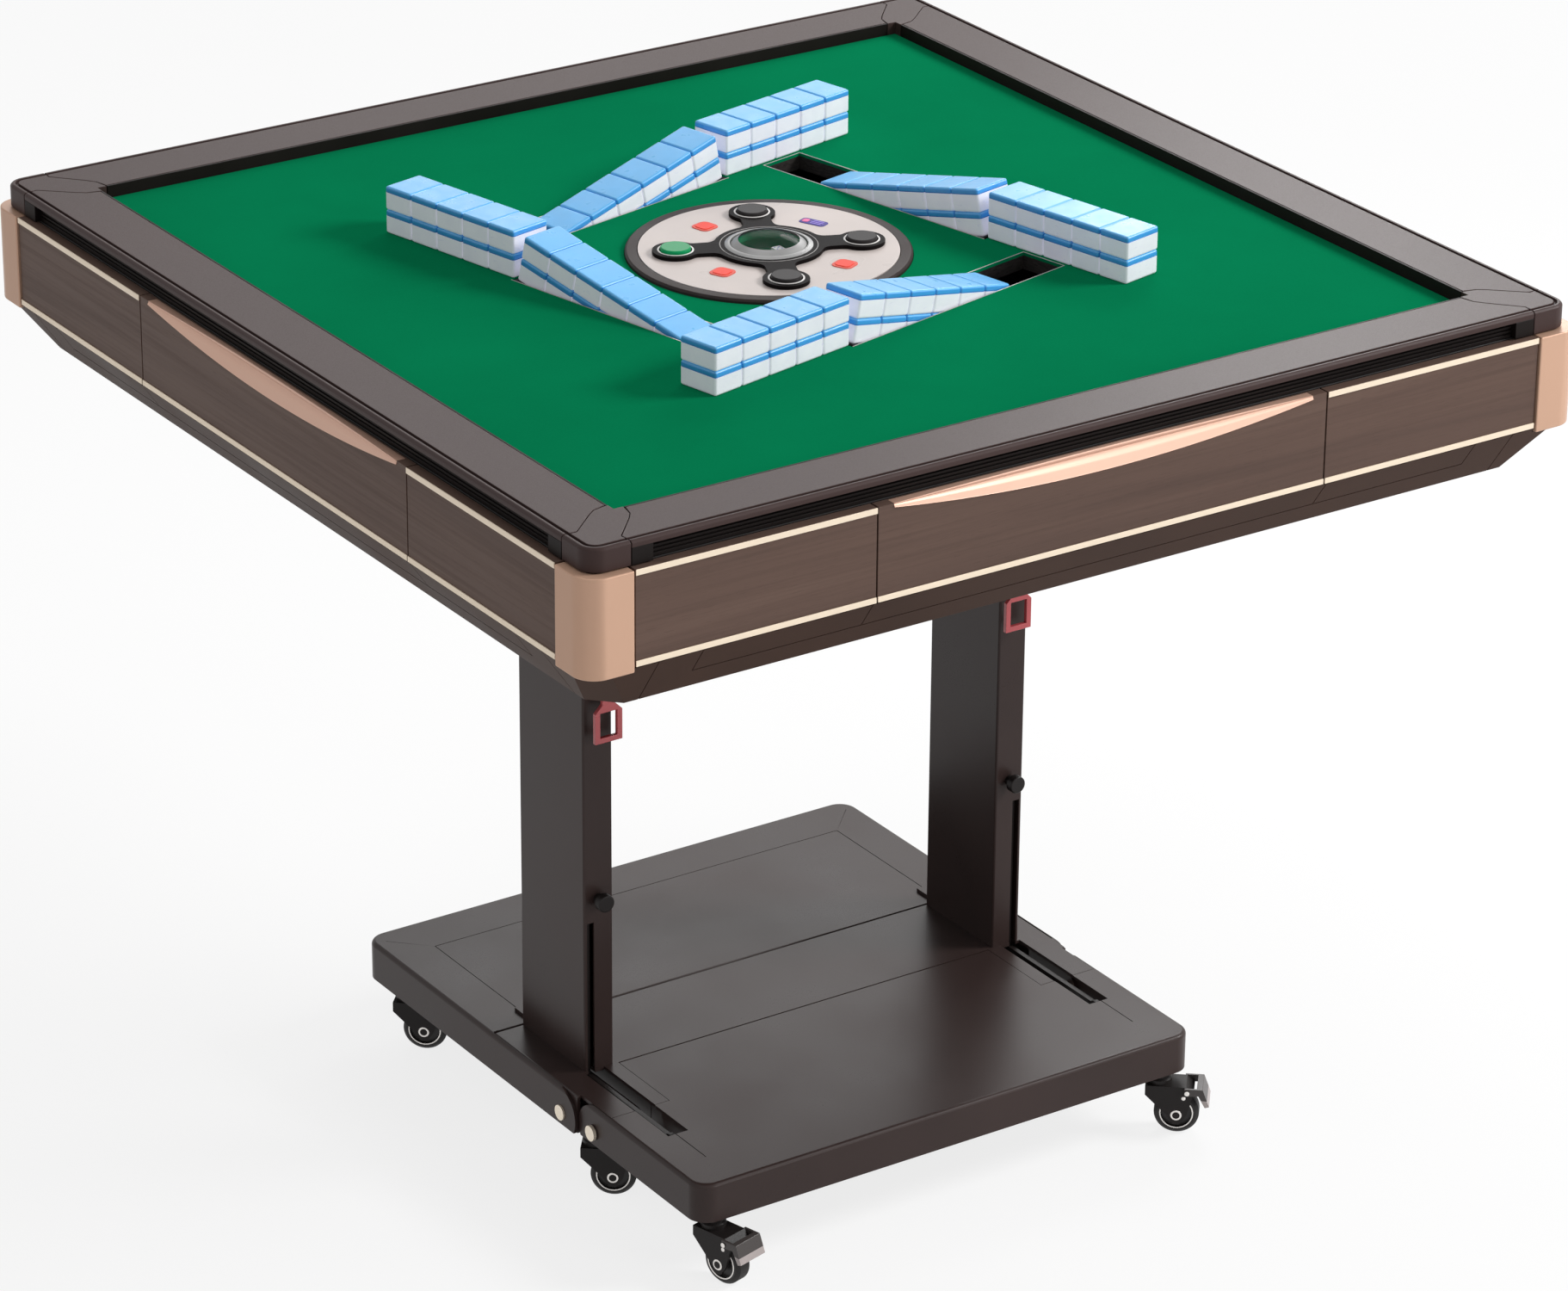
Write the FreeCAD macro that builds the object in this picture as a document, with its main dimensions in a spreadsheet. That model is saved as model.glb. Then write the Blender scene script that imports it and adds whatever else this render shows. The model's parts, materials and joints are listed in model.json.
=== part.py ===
import FreeCAD, Part
import math
import os
import Sketcher
from types import SimpleNamespace
from FreeCAD import Placement, Rotation, Vector

# A folding automatic mahjong table, in millimetres. +Z is up, the origin lies on the floor under the
# middle of the top, the front of the stand is at -Y and the stand's hinge pins run along X.

SIZES = {
    # overall
    "table_half": 485,
    "total_height": 794,
    # playing frame
    "frame_inset": 8,
    "rail_width": 60,
    "frame_height": 20,
    "cap_height": 6,
    "riser_setback": 6,
    "corner_length": 38,
    "seam_step": 13,
    "seam_reach": 21.5,
    "lobe_reach": 14,
    "lobe_length": 8.5,
    "lobe_bulge": 3,
    "end_block": 19,
    "corner_round": 16,
    "lip_wall": 2,
    "rib_height": 1.6,
    "rib_depth": 2,
    # playing surface
    "mat_drop": 11,
    "mat_thick": 3,
    "board_thick": 12,
    # side band
    "band_gap": 1,
    "band_height": 80,
    "panel_thick": 10,
    "panel_setback": 2,
    "panel_seam": 0.6,
    "post_width": 44,
    "post_wall": 12,
    "post_round": 20,
    "post_drop": 4,
    "drawer_half": 219,
    "trim_height": 6,
    "trim_thick": 1,
    "pull_margin": 15,
    "pull_depth": 17,
    "pull_end_depth": 3,
    "pull_lean": 7,
    # drawer trays and runners
    "tray_margin": 19,
    "tray_depth": 150,
    "tray_height": 48,
    "tray_lift": 7,
    "tray_wall": 2.5,
    "runner_wall": 3,
    "runner_ledge": 12,
    # lower shell and chassis
    "shell_depth": 44,
    "shell_inset": 30,
    "shell_wall": 3,
    "shell_corner": 22,
    "shell_shadow": 1,
    "shell_seam_drop": 23.3,
    "shell_seam_half": 378,
    "shell_seam_inner": 222,
    "shell_end_seam": 418,
    "seam_width": 0.8,
    "seam_depth": 1,
    "ring_width": 73,
    "ring_height": 18,
    "leg_size": 24,
    "leg_inset": 37,
    # shuffling drive
    "hub_radius": 28,
    "hub_height": 32,
    "shaft_radius": 10,
    "shaft_height": 32,
    "guide_radius": 6,
    "guide_height": 54,
    "drum_radius": 250,
    "drum_rim": 26,
    "drum_wall": 3,
    "drum_hub_radius": 26,
    "motor_radius": 30,
    "motor_offset": 150,
    "roller_radius": 16,
    "roller_height": 4,
    # console
    "console_radius": 111,
    "console_rise": 4,
    "console_wall": 3,
    "console_skirt": 36,
    "collar_width": 11,
    "collar_rise": 3.5,
    "cover_margin": 14,
    "cover_thick": 3.5,
    "arm_width": 26,
    "arm_angle": 67,
    "arm_fillet": 10,
    "seat_fillet": 6,
    "button_orbit": 80,
    "button_seat": 20,
    "button_radius": 13,
    "button_height": 6,
    "button_flange": 2,
    "dice_well": 33,
    "well_depth": 13,
    "dome_height": 12,
    "dome_wall": 1.5,
    "dice_edge": 9,
    "dice_gap": 5,
    "axle_radius": 2.5,
    "stem_radius": 12,
    "stem_length": 55,
    # tiles and tile ramps
    "wall_angle": 12.7,
    "wall_offset": 175,
    "tile_length": 40,
    "tile_width": 31,
    "tile_thick": 21,
    "tile_gap": 0.3,
    "slot_start": -108,
    "slot_length": 260,
    "slot_width": 45,
    "ramp_thick": 5,
    "ramp_drop_angle": 12.5,
    "ramp_axis_inset": 3.5,
    "ramp_axis_depth": 7,
    "trunnion_radius": 2,
    "trunnion_seat": 5,
    # stand
    "base_half": 262,
    "base_rear": 257,
    "base_top": 96,
    "base_bottom": 60,
    "base_corner": 18,
    "base_round": 4,
    "press_inset": 44,
    "press_rear": 51,
    "press_corner": 12,
    "press_depth": 0.6,
    "sheet_wall": 3,
    "tray_seam": 0.5,
    "column_front": -68,
    "column_depth": 104,
    "column_inset": 61,
    "column_width": 29,
    "column_wall": 2,
    "column_round": 2,
    "head_gap": 17,
    "column_slot_top": 238,
    "column_slot_width": 7,
    "boss_wall": 5,
    "foot_tab": 26,
    "bumper_height": 260,
    "bumper_radius": 8,
    "bumper_neck": 4.8,
    "bumper_length": 14,
    # wing and hinge
    "wing_gap": 1,
    "wing_front": -294,
    "wing_setback": 2,
    "hinge_forward": 58,
    "hinge_height": 72,
    "hinge_boss": 13,
    "pin_radius": 4,
    "pin_head": 7,
    "pin_head_thick": 3,
    "brace_pin_back": 47,
    "flange_round": 24,
    "ear_margin": 5,
    "slot_half": 10,
    "slot_mark": 47,
    "arm_gap": 2,
    "arm_wall": 5,
    "rib_wall": 4,
    "lug_offset": 12,
    # folding link and tilt axis
    "tilt_axis_y": 12,
    "link_reach": 70,
    "link_rise": 14,
    "link_offset": 20,
    "link_wall": 5,
    "link_width": 10,
    "link_boss": 7,
    "link_pin": 3,
    "bracket_wall": 6,
    "bracket_boss": 12,
    # latches
    "latch_height": 480,
    "latch_forward": 11,
    "latch_thick": 4,
    "latch_offset": 11,
    "latch_half": 13.5,
    "latch_length": 68,
    "latch_bar": 5,
    "latch_window": 23,
    "latch_stem_half": 6,
    "latch_pin": 2,
    # casters
    "wheel_radius": 20,
    "wheel_width": 17,
    "wheel_axle": 3,
    "caster_trail": 16,
    "fork_wall": 3,
    "fork_gap": 1,
    "fork_crown": 6,
    "stem_height": 12,
    "swivel_radius": 9,
    "kingpin_rise": 2.8,
    "front_caster_inset": 24,
    "front_caster_setback": 16,
    "side_caster_inset": 20,
    "middle_caster_offset": 22,
    "rear_caster_setback": 43,
    "caster_boss": 17,
    "hub_dish": 3.4,
    "rim_radius": 13.6,
    "wheel_hub": 6,
    "tread_round": 3,
    "pedal_wall": 2.5,
    "pedal_rise": 4,
    "pedal_reach": 20,
    "pedal_fall": 12.5,
    "pedal_toe": 4,
    "pedal_ear": 3.5,
    "pedal_plate": 8.5,
    # clearances
    "running": 0.05,
    "clearance": 0.3,
}


class Size:
    """A length that carries its number and the spreadsheet expression it comes from."""

    def __init__(self, value, text):
        self.value = value
        self.text = text

    def combined(self, other, sign, value):
        return Size(value, f"({self.text} {sign} {text_of(other)})")

    def __add__(self, other):
        return self.combined(other, "+", self.value + number(other))

    def __sub__(self, other):
        return self.combined(other, "-", self.value - number(other))

    def __mul__(self, other):
        return self.combined(other, "*", self.value * number(other))

    def __truediv__(self, other):
        return self.combined(other, "/", self.value / number(other))

    def __neg__(self):
        return Size(-self.value, f"(0 - {self.text})")

    def __radd__(self, other):
        return Size(float(other), str(other)) + self

    def __rsub__(self, other):
        return Size(float(other), str(other)) - self


def number(item):
    """The plain number of a Size or of a number."""
    return item.value if isinstance(item, Size) else float(item)


def text_of(item):
    """The expression text of a Size or of a number."""
    return item.text if isinstance(item, Size) else str(item)


def sheet_of_sizes(doc):
    """Writes every driving dimension into the spreadsheet and returns them as Sizes."""
    sheet = doc.addObject("Spreadsheet::Sheet", "Sizes")
    for row, (alias, value) in enumerate(SIZES.items(), start=1):
        sheet.set(f"A{row}", alias)
        sheet.set(f"B{row}", str(value))
        sheet.setAlias(f"B{row}", alias)
    doc.recompute()
    sizes = {alias: Size(float(value), f"Sizes.{alias}") for alias, value in SIZES.items()}
    return SimpleNamespace(**sizes)


doc = FreeCAD.newDocument("MahjongTable")
s = sheet_of_sizes(doc)
nodes = []

PLANES = {"Z": "XY_Plane", "Y": "XZ_Plane", "X": "YZ_Plane"}
UNITS = {"X": Vector(1, 0, 0), "Y": Vector(0, 1, 0), "Z": Vector(0, 0, 1)}


# ---- general shapes -------------------------------------------------------------------------------

def bind(part, prop, item):
    """Binds one property to a size, or sets it where the size is a plain number."""
    part.setExpression(prop, text_of(item))


def place(part, corner):
    """Puts a part's own origin at a corner given by three sizes."""
    for axis, item in zip("xyz", corner):
        bind(part, f"Placement.Base.{axis}", item)
    return part


def through(low, high):
    """The span of a cutter that runs 1 mm past both faces."""
    return low - 1, high + 1


def box(name, x, y, z):
    """A block between two sizes along each axis."""
    part = doc.addObject("Part::Box", name)
    for prop, (low, high) in zip(("Length", "Width", "Height"), (x, y, z)):
        bind(part, prop, high - low)
    return place(part, (x[0], y[0], z[0]))


def rod(name, centre, radius, span, axis="Z"):
    """A round bar along one axis: centre holds the two other coordinates in X, Y, Z order."""
    part = doc.addObject("Part::Cylinder", name)
    bind(part, "Radius", radius)
    bind(part, "Height", span[1] - span[0])
    part.Placement.Rotation = Rotation(UNITS["Z"], UNITS[axis])
    corner = list(centre)
    corner.insert("XYZ".index(axis), span[0])
    return place(part, corner)


def cut(name, base, *tools):
    """The base less every tool."""
    part = doc.addObject("Part::Cut", name)
    part.Base = base
    part.Tool = tools[0] if len(tools) == 1 else fuse(f"{name}_tools", *tools)
    return part


def fuse(name, *shapes):
    """One body of several shapes that meet or overlap."""
    part = doc.addObject("Part::MultiFuse", name)
    part.Shapes = list(shapes)
    part.Refine = True
    return part


def common(name, first, second):
    """What two shapes share."""
    part = doc.addObject("Part::Common", name)
    part.Base = first
    part.Tool = second
    return part


def mirrored(name, source, axis="X"):
    """The source seen in the plane through the origin across one axis."""
    part = doc.addObject("Part::Mirroring", name)
    part.Source = source
    part.Normal = UNITS[axis]
    return part


def both_sides(parts):
    """The right-hand parts and their left-hand mirrors."""
    return list(parts) + [mirrored(f"{part.Name}_left", part) for part in parts]


def group(name, parts, placement=Placement()):
    """Several solids kept apart in one object, moved as one."""
    part = doc.addObject("Part::Compound", name)
    part.Links = list(parts)
    part.Placement = placement
    return part


def turned(name, parts, degrees):
    """A copy of the parts turned about the vertical through the origin."""
    return group(name, parts, Placement(Vector(), Rotation(UNITS["Z"], degrees)))


def four_sides(name, parts):
    """The parts repeated on all four sides."""
    return [turned(f"{name}_side{side}", parts, 90 * side) for side in range(4)]


def node(label, parts, placement=Placement()):
    """A finished sub-part, written to a file under its label."""
    part = group(f"{label}_node", parts, placement)
    part.Label = label
    nodes.append(part)
    return part


def outline(body, name, plane, points, lift=0):
    """A closed sketch on one of the body's planes, each corner tied to its own two sizes."""
    sketch = body.newObject("Sketcher::SketchObject", name)
    support = next(item for item in body.Origin.OriginFeatures if item.Role == plane)
    sketch.AttachmentSupport = [(support, "")]
    sketch.MapMode = "FlatFace"
    bind(sketch, "AttachmentOffset.Base.z", lift)
    count = len(points)
    for index, (across, up) in enumerate(points):
        after = points[(index + 1) % count]
        start = Vector(number(across), number(up), 0)
        end = Vector(number(after[0]), number(after[1]), 0)
        sketch.addGeometry(Part.LineSegment(start, end))
    for index in range(count):
        sketch.addConstraint(Sketcher.Constraint("Coincident", index, 2, (index + 1) % count, 1))
    for index, corner in enumerate(points):
        for kind, item in zip(("DistanceX", "DistanceY"), corner):
            made = sketch.addConstraint(Sketcher.Constraint(kind, -1, 1, index, 1, number(item)))
            bind(sketch, f"Constraints[{made}]", item)
    return sketch


def prism(name, axis, points, span):
    """A padded outline: points lie across the axis, in X, Y, Z order, and span runs along it."""
    body = doc.addObject("PartDesign::Body", name)
    pad = body.newObject("PartDesign::Pad", f"{name}_pad")
    pad.Profile = outline(body, f"{name}_sketch", PLANES[axis], points)
    bind(pad, "Length", span[1] - span[0])
    pad.Reversed = axis == "Y"
    bind(body, f"Placement.Base.{axis.lower()}", span[0])
    return body


def lathe(name, points, centre=(0, 0)):
    """A turned piece: points are radius and height, and the axis is the vertical at the centre."""
    body = doc.addObject("PartDesign::Body", name)
    turn = body.newObject("PartDesign::Revolution", f"{name}_turn")
    sketch = outline(body, f"{name}_sketch", "XZ_Plane", points)
    turn.Profile = sketch
    turn.ReferenceAxis = (sketch, ["V_Axis"])
    turn.Angle = 360
    return place(body, (centre[0], centre[1], 0))


def loft(name, sections):
    """A solid through flat outlines, each given as (height, points)."""
    body = doc.addObject("PartDesign::Body", name)
    sketches = [outline(body, f"{name}_section{index}", "XY_Plane", points, height)
                for index, (height, points) in enumerate(sections)]
    blend = body.newObject("PartDesign::AdditiveLoft", f"{name}_loft")
    blend.Profile = sketches[0]
    blend.Sections = sketches[1:]
    blend.Ruled = True
    return body


def edges_where(shape, wanted):
    """Numbers of the edges whose middle point and direction pass the test."""
    found = []
    for index, edge in enumerate(shape.Edges, start=1):
        middle = edge.valueAt((edge.FirstParameter + edge.LastParameter) / 2)
        direction = edge.tangentAt(edge.FirstParameter)
        if wanted(middle, direction):
            found.append(index)
    return found


def upright(direction):
    return abs(direction.z) > 0.99


def eased(name, source, radius, wanted, kind="Part::Fillet"):
    """Rounds, or chamfers, the edges of the source that pass the test."""
    doc.recompute()
    part = doc.addObject(kind, name)
    part.Base = source
    part.Edges = [(index, number(radius), number(radius)) for index in edges_where(source.Shape, wanted)]
    return part


def eight_corners(half, corner):
    """A square with cut corners, as outline points."""
    short = half - corner
    return [(short, -half), (half, -short), (half, short), (short, half),
            (-short, half), (-half, short), (-half, -short), (-short, -half)]


# ---- heights and planes shared by the pieces ---------------------------------------------------------

FRAME_TOP = s.total_height
FRAME_BOTTOM = FRAME_TOP - s.frame_height
CAP_BOTTOM = FRAME_TOP - s.cap_height
FRAME_HALF = s.table_half - s.frame_inset
RAIL_INNER = FRAME_HALF - s.rail_width
MAT_TOP = FRAME_TOP - s.mat_drop
BOARD_TOP = MAT_TOP - s.mat_thick
BOARD_BOTTOM = BOARD_TOP - s.board_thick
BOARD_HALF = RAIL_INNER - s.panel_seam
BAND_TOP = FRAME_BOTTOM - s.band_gap
BAND_BOTTOM = BAND_TOP - s.band_height
BAND_FACE = s.table_half - s.panel_setback
BAND_BACK = BAND_FACE - s.panel_thick
SHELL_TOP = BAND_BOTTOM - s.shell_shadow
SHELL_BOTTOM = BAND_BOTTOM - s.shell_depth
SHELL_FLOOR = SHELL_BOTTOM + s.shell_wall
SHELL_SLOPE = s.shell_inset / (SHELL_TOP - SHELL_BOTTOM)
PULL_HALF = s.drawer_half - s.pull_margin
TRAY_HALF = s.drawer_half - s.tray_margin
HINGE_Y = s.column_front - s.hinge_forward
COLUMN_REAR = s.column_front + s.column_depth
COLUMN_INNER = s.base_half - s.column_inset
COLUMN_OUTER = COLUMN_INNER + s.column_width
COLUMN_TOP = SHELL_BOTTOM - s.head_gap
TILT_Z = COLUMN_TOP - s.bracket_boss
LINK_PIN_Y = s.tilt_axis_y - s.link_reach
LINK_PIN_Z = TILT_Z + s.link_rise
LINK_INNER = COLUMN_INNER + s.link_offset
WING_PIN_Y = HINGE_Y - s.link_reach
WING_PIN_Z = s.hinge_height + s.link_rise
PLATE_UNDER = s.base_top - s.sheet_wall
HINGE_DEPTH = s.base_top - s.hinge_height
EAR_FRONT = HINGE_Y - HINGE_DEPTH
EAR_INNER = COLUMN_INNER - s.ear_margin
SLOT_INNER = LINK_INNER - s.slot_half
SLOT_OUTER = LINK_INNER + s.slot_half
ARM_INNER = SLOT_INNER + s.arm_gap
LUG_INNER = SLOT_OUTER + s.lug_offset
WING_HALF = s.base_half - s.sheet_wall - s.wing_gap
WING_REAR = s.column_front - s.wing_setback
LATCH_CENTRE = COLUMN_INNER + s.latch_offset
FRONT_CASTER_X = WING_HALF - s.front_caster_inset
FRONT_CASTER_Y = s.wing_front + s.front_caster_setback
SIDE_CASTER_X = s.base_half - s.side_caster_inset
MIDDLE_CASTER_Y = HINGE_Y + s.middle_caster_offset
REAR_CASTER_Y = s.base_rear - s.rear_caster_setback
COLLAR_RADIUS = s.console_radius + s.collar_width
COVER_RADIUS = s.dice_well + s.cover_margin


# ---- playing frame -------------------------------------------------------------------------------------

def corner_seam(gap=0):
    """The curved seam between the front rail and the corner piece at +X, from outside to inside."""
    end = FRAME_HALF - s.corner_length
    return [(end - gap, -FRAME_HALF), (end + 1 - gap, s.seam_step - FRAME_HALF),
            (RAIL_INNER - gap, -RAIL_INNER - s.seam_reach),
            (RAIL_INNER - s.lobe_length + s.lobe_bulge - gap, -RAIL_INNER - s.lobe_reach),
            (RAIL_INNER - s.lobe_length - gap, -RAIL_INNER)]


def rail_plan(outer, inner):
    """Plan of one straight rail between the seams of its two corner pieces."""
    right = corner_seam(s.panel_seam)
    right[0] = (right[0][0], -outer)
    right[-1] = (right[-1][0], -inner)
    return right + [(-across, up) for across, up in reversed(right)]


def frame_rails():
    """Four rail caps with a bevelled outer edge, and four full-height corner pieces."""
    inner = RAIL_INNER + s.lip_wall + s.clearance
    cap = prism("rail_cap", "Z", rail_plan(FRAME_HALF, inner), (CAP_BOTTOM, FRAME_TOP))
    cap = eased("rail_bevel", cap, s.lip_wall,
                lambda at, along: at.y < number(-FRAME_HALF) + 0.1 and at.z > number(FRAME_TOP) - 0.1,
                "Part::Chamfer")
    seam = corner_seam()
    plan = seam + [(RAIL_INNER, -RAIL_INNER)] + [(-up, -across) for across, up in reversed(seam)]
    plan.append((FRAME_HALF, -FRAME_HALF))
    block = prism("corner_block", "Z", plan, (FRAME_BOTTOM, FRAME_TOP))
    block = eased("corner_rounding", block, s.corner_round,
                  lambda at, along: upright(along) and at.x - at.y > number(FRAME_HALF * 2) - 1)
    outer = number(FRAME_HALF - s.corner_round / 3)
    block = eased("corner_bevel", block, s.lip_wall,
                  lambda at, along: at.z > number(FRAME_TOP) - 0.1 and max(at.x, -at.y) > outer,
                  "Part::Chamfer")
    node("frame_rails", four_sides("rails", [cap, block]))


def frame_riser():
    """The ribbed dark band under the caps, with the thin lip that lines the inside of the frame."""
    outer = FRAME_HALF - s.riser_setback
    bar = prism("riser_bar", "Z", rail_plan(outer, RAIL_INNER), (FRAME_BOTTOM, CAP_BOTTOM))
    end = RAIL_INNER - s.lobe_length - s.panel_seam
    lip = box("riser_lip", (-end, end), (-(RAIL_INNER + s.lip_wall), -RAIL_INNER),
              (CAP_BOTTOM - s.lip_wall, FRAME_TOP - s.clearance))
    block_end = FRAME_HALF - s.corner_length - s.panel_seam
    block_start = block_end - s.end_block
    block = box("riser_end", (block_start, block_end), (-FRAME_HALF, -outer), (FRAME_BOTTOM, CAP_BOTTOM))
    rib_pitch = (CAP_BOTTOM - FRAME_BOTTOM) / 4
    grooves = []
    for count in range(3):
        low = FRAME_BOTTOM + rib_pitch * (count + 1) - s.rib_height / 2
        grooves.append(box(f"rib_groove{count}", (-block_start, block_start),
                           (-outer - s.clearance, -outer + s.rib_depth), (low, low + s.rib_height)))
    ribbed = cut("riser_ribbed", fuse("riser_with_lip", bar, lip), *grooves)
    node("frame_riser", four_sides("riser", [ribbed, block, mirrored("riser_end_left", block)]))


# ---- playing surface -----------------------------------------------------------------------------------

def pinwheel(side):
    """Placement of one side's tile wall: the four walls are set round the middle like a pinwheel."""
    return Placement(Vector(), Rotation(UNITS["Z"], number(s.wall_angle) + 90 * side))


def ramp_slots(name, low, high):
    """The four openings that the tile ramps move in."""
    half = s.slot_width / 2
    slot = box(f"{name}_slot", (s.slot_start, s.slot_start + s.slot_length),
               (-s.wall_offset - half, -s.wall_offset + half), through(low, high))
    return [group(f"{name}_slot_side{side}", [slot], pinwheel(side)) for side in range(4)]


def table_board():
    """The board under the mat, with the console opening, the ramp slots and their pivot bores."""
    board = box("board_blank", (-BOARD_HALF, BOARD_HALF), (-BOARD_HALF, BOARD_HALF),
                (BOARD_BOTTOM, BOARD_TOP))
    opening = rod("board_opening", (0, 0), s.console_radius + s.clearance * 2,
                  through(BOARD_BOTTOM, BOARD_TOP))
    reach = s.slot_width / 2 + s.trunnion_seat + s.running
    bore = rod("trunnion_bore", (s.slot_start + s.ramp_axis_inset, MAT_TOP - s.ramp_axis_depth),
               s.trunnion_radius + s.running, (-s.wall_offset - reach, -s.wall_offset + reach), "Y")
    bores = [group(f"trunnion_bore_side{side}", [bore], pinwheel(side)) for side in range(4)]
    board = cut("board_cut", board, opening, *ramp_slots("board", BOARD_BOTTOM, BOARD_TOP), *bores)
    node("table_board", [board])


def table_mat():
    """The green playing mat on the board."""
    mat = box("mat_blank", (-BOARD_HALF, BOARD_HALF), (-BOARD_HALF, BOARD_HALF), (BOARD_TOP, MAT_TOP))
    opening = rod("mat_opening", (0, 0), COLLAR_RADIUS + s.clearance, through(BOARD_TOP, MAT_TOP))
    mat = cut("mat_cut", mat, opening, *ramp_slots("mat", BOARD_TOP, MAT_TOP))
    node("table_mat", [mat])


def center_collar():
    """The dark ring round the console."""
    inner = s.console_radius + s.clearance * 2
    top = MAT_TOP + s.collar_rise
    bevel = s.collar_rise / 2
    ring = lathe("collar_ring",
                 [(inner, BOARD_TOP), (COLLAR_RADIUS, BOARD_TOP), (COLLAR_RADIUS, top - bevel),
                  (COLLAR_RADIUS - bevel, top), (inner, top)])
    node("center_collar", [ring])


# ---- side band: posts, panels and drawers --------------------------------------------------------------

def corner_posts():
    """Four rounded corner posts of L section that run a little below the panels."""
    low = -s.table_half
    plan = [(low, low), (low + s.post_width, low), (low + s.post_width, low + s.post_wall),
            (low + s.post_wall, low + s.post_wall), (low + s.post_wall, low + s.post_width),
            (low, low + s.post_width)]
    post = prism("post_angle", "Z", plan, (BAND_BOTTOM - s.post_drop, BAND_TOP))
    post = eased("post_rounding", post, s.post_round,
                 lambda at, along: upright(along) and at.x + at.y < number(low * 2) + 1)
    post = eased("post_inner_rounding", post, s.post_round - s.post_wall,
                 lambda at, along: upright(along) and abs(at.x - at.y) < 0.1
                 and abs(at.x - number(low + s.post_wall)) < 0.1)
    node("corner_posts", four_sides("post", [post]))


def fixed_panels():
    """Two fixed wood panels a side, each with a metal strip along its top and bottom edge."""
    outer = s.table_half - s.post_width - s.panel_seam
    inner = s.drawer_half + s.panel_seam / 2
    panel = box("fixed_panel", (inner, outer), (-BAND_FACE, -BAND_BACK), (BAND_BOTTOM, BAND_TOP))
    strip_y = (-BAND_FACE - s.trim_thick, -BAND_FACE)
    upper = box("upper_strip", (inner, outer), strip_y, (BAND_TOP - s.trim_height, BAND_TOP))
    lower = box("lower_strip", (inner, outer), strip_y, (BAND_BOTTOM, BAND_BOTTOM + s.trim_height))
    trims = [upper, lower, mirrored("upper_strip_left", upper), mirrored("lower_strip_left", lower)]
    node("side_panels", four_sides("panel", [panel, mirrored("fixed_panel_left", panel)]))
    node("panel_trims", four_sides("trim", trims))


def pull_blank(name, half, face_y, back_y, grow=0):
    """A lens between the band's top edge and a shallow arc, drawn as one wide circle segment."""
    rise = s.pull_depth - s.pull_end_depth
    radius = (half * half + rise * rise) / (rise * 2)
    floor = BAND_TOP - s.pull_depth - grow
    disc = rod(f"{name}_disc", (0, floor + radius), radius, (face_y, back_y), "Y")
    window = box(f"{name}_window", (-half, half), (face_y, back_y), (floor, BAND_TOP))
    return common(name, window, disc)


def drawer_face():
    """A wood front, its recessed metal pull along the top edge and its metal strip below."""
    half = s.drawer_half - s.panel_seam / 2
    wood = box("drawer_wood", (-half, half), (-BAND_FACE, -BAND_BACK), (BAND_BOTTOM, BAND_TOP))
    pull_back = -BAND_FACE + s.pull_lean + s.trim_thick
    pull = pull_blank("pull_lens", PULL_HALF, -BAND_FACE - s.trim_thick, pull_back)
    seat = pull_blank("pull_seat", PULL_HALF, -BAND_FACE - s.trim_thick - 1, pull_back)
    front = -BAND_FACE - s.trim_thick
    low = BAND_TOP - s.pull_depth
    high = BAND_TOP + s.trim_thick
    lean = [(front - 1, low), (front, low), (-BAND_FACE + s.pull_lean - s.trim_thick, high),
            (front - 1, high)]
    scoop = prism("pull_scoop", "X", lean, (-s.drawer_half, s.drawer_half))
    strip = box("drawer_strip", (-half, half), (-BAND_FACE - s.trim_thick, -BAND_FACE),
                (BAND_BOTTOM, BAND_BOTTOM + s.trim_height))
    return [cut("drawer_wood_cut", wood, seat), cut("pull_scooped", pull, scoop), strip]


def drawer_tray():
    """An open-topped tray behind the drawer front."""
    low = BAND_BOTTOM + s.tray_lift
    rear = -BAND_BACK + s.tray_depth
    blank = box("tray_blank", (-TRAY_HALF, TRAY_HALF), (-BAND_BACK, rear), (low, low + s.tray_height))
    inner = TRAY_HALF - s.tray_wall
    hollow = box("tray_hollow", (-inner, inner), (-BAND_BACK + s.tray_wall, rear - s.tray_wall),
                 (low + s.tray_wall, low + s.tray_height + 1))
    return cut("tray_open", blank, hollow)


def drawers():
    """A drawer in the middle of each side."""
    face = drawer_face()
    tray = drawer_tray()
    for side, place_name in enumerate(("front", "right", "rear", "left")):
        turn = Placement(Vector(), Rotation(UNITS["Z"], 90 * side))
        node(f"drawer_front_{place_name}", face, turn)
        node(f"drawer_tray_{place_name}", [tray], turn)


# ---- lower shell, chassis and drive --------------------------------------------------------------------

def shell_face(drop):
    """Where the shell's leaning front face lies, this far below the shell's top."""
    return SHELL_SLOPE * drop - BAND_FACE


def upright_seam(name, across, drop):
    """A narrow groove down the shell's leaning face, from its top edge."""
    half = s.seam_width / 2
    path = [(shell_face(0) - 1, SHELL_TOP), (shell_face(0) + s.seam_depth, SHELL_TOP),
            (shell_face(drop) + s.seam_depth, SHELL_TOP - drop), (shell_face(drop) - 1, SHELL_TOP - drop)]
    return prism(name, "X", path, (across - half, across + half))


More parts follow.
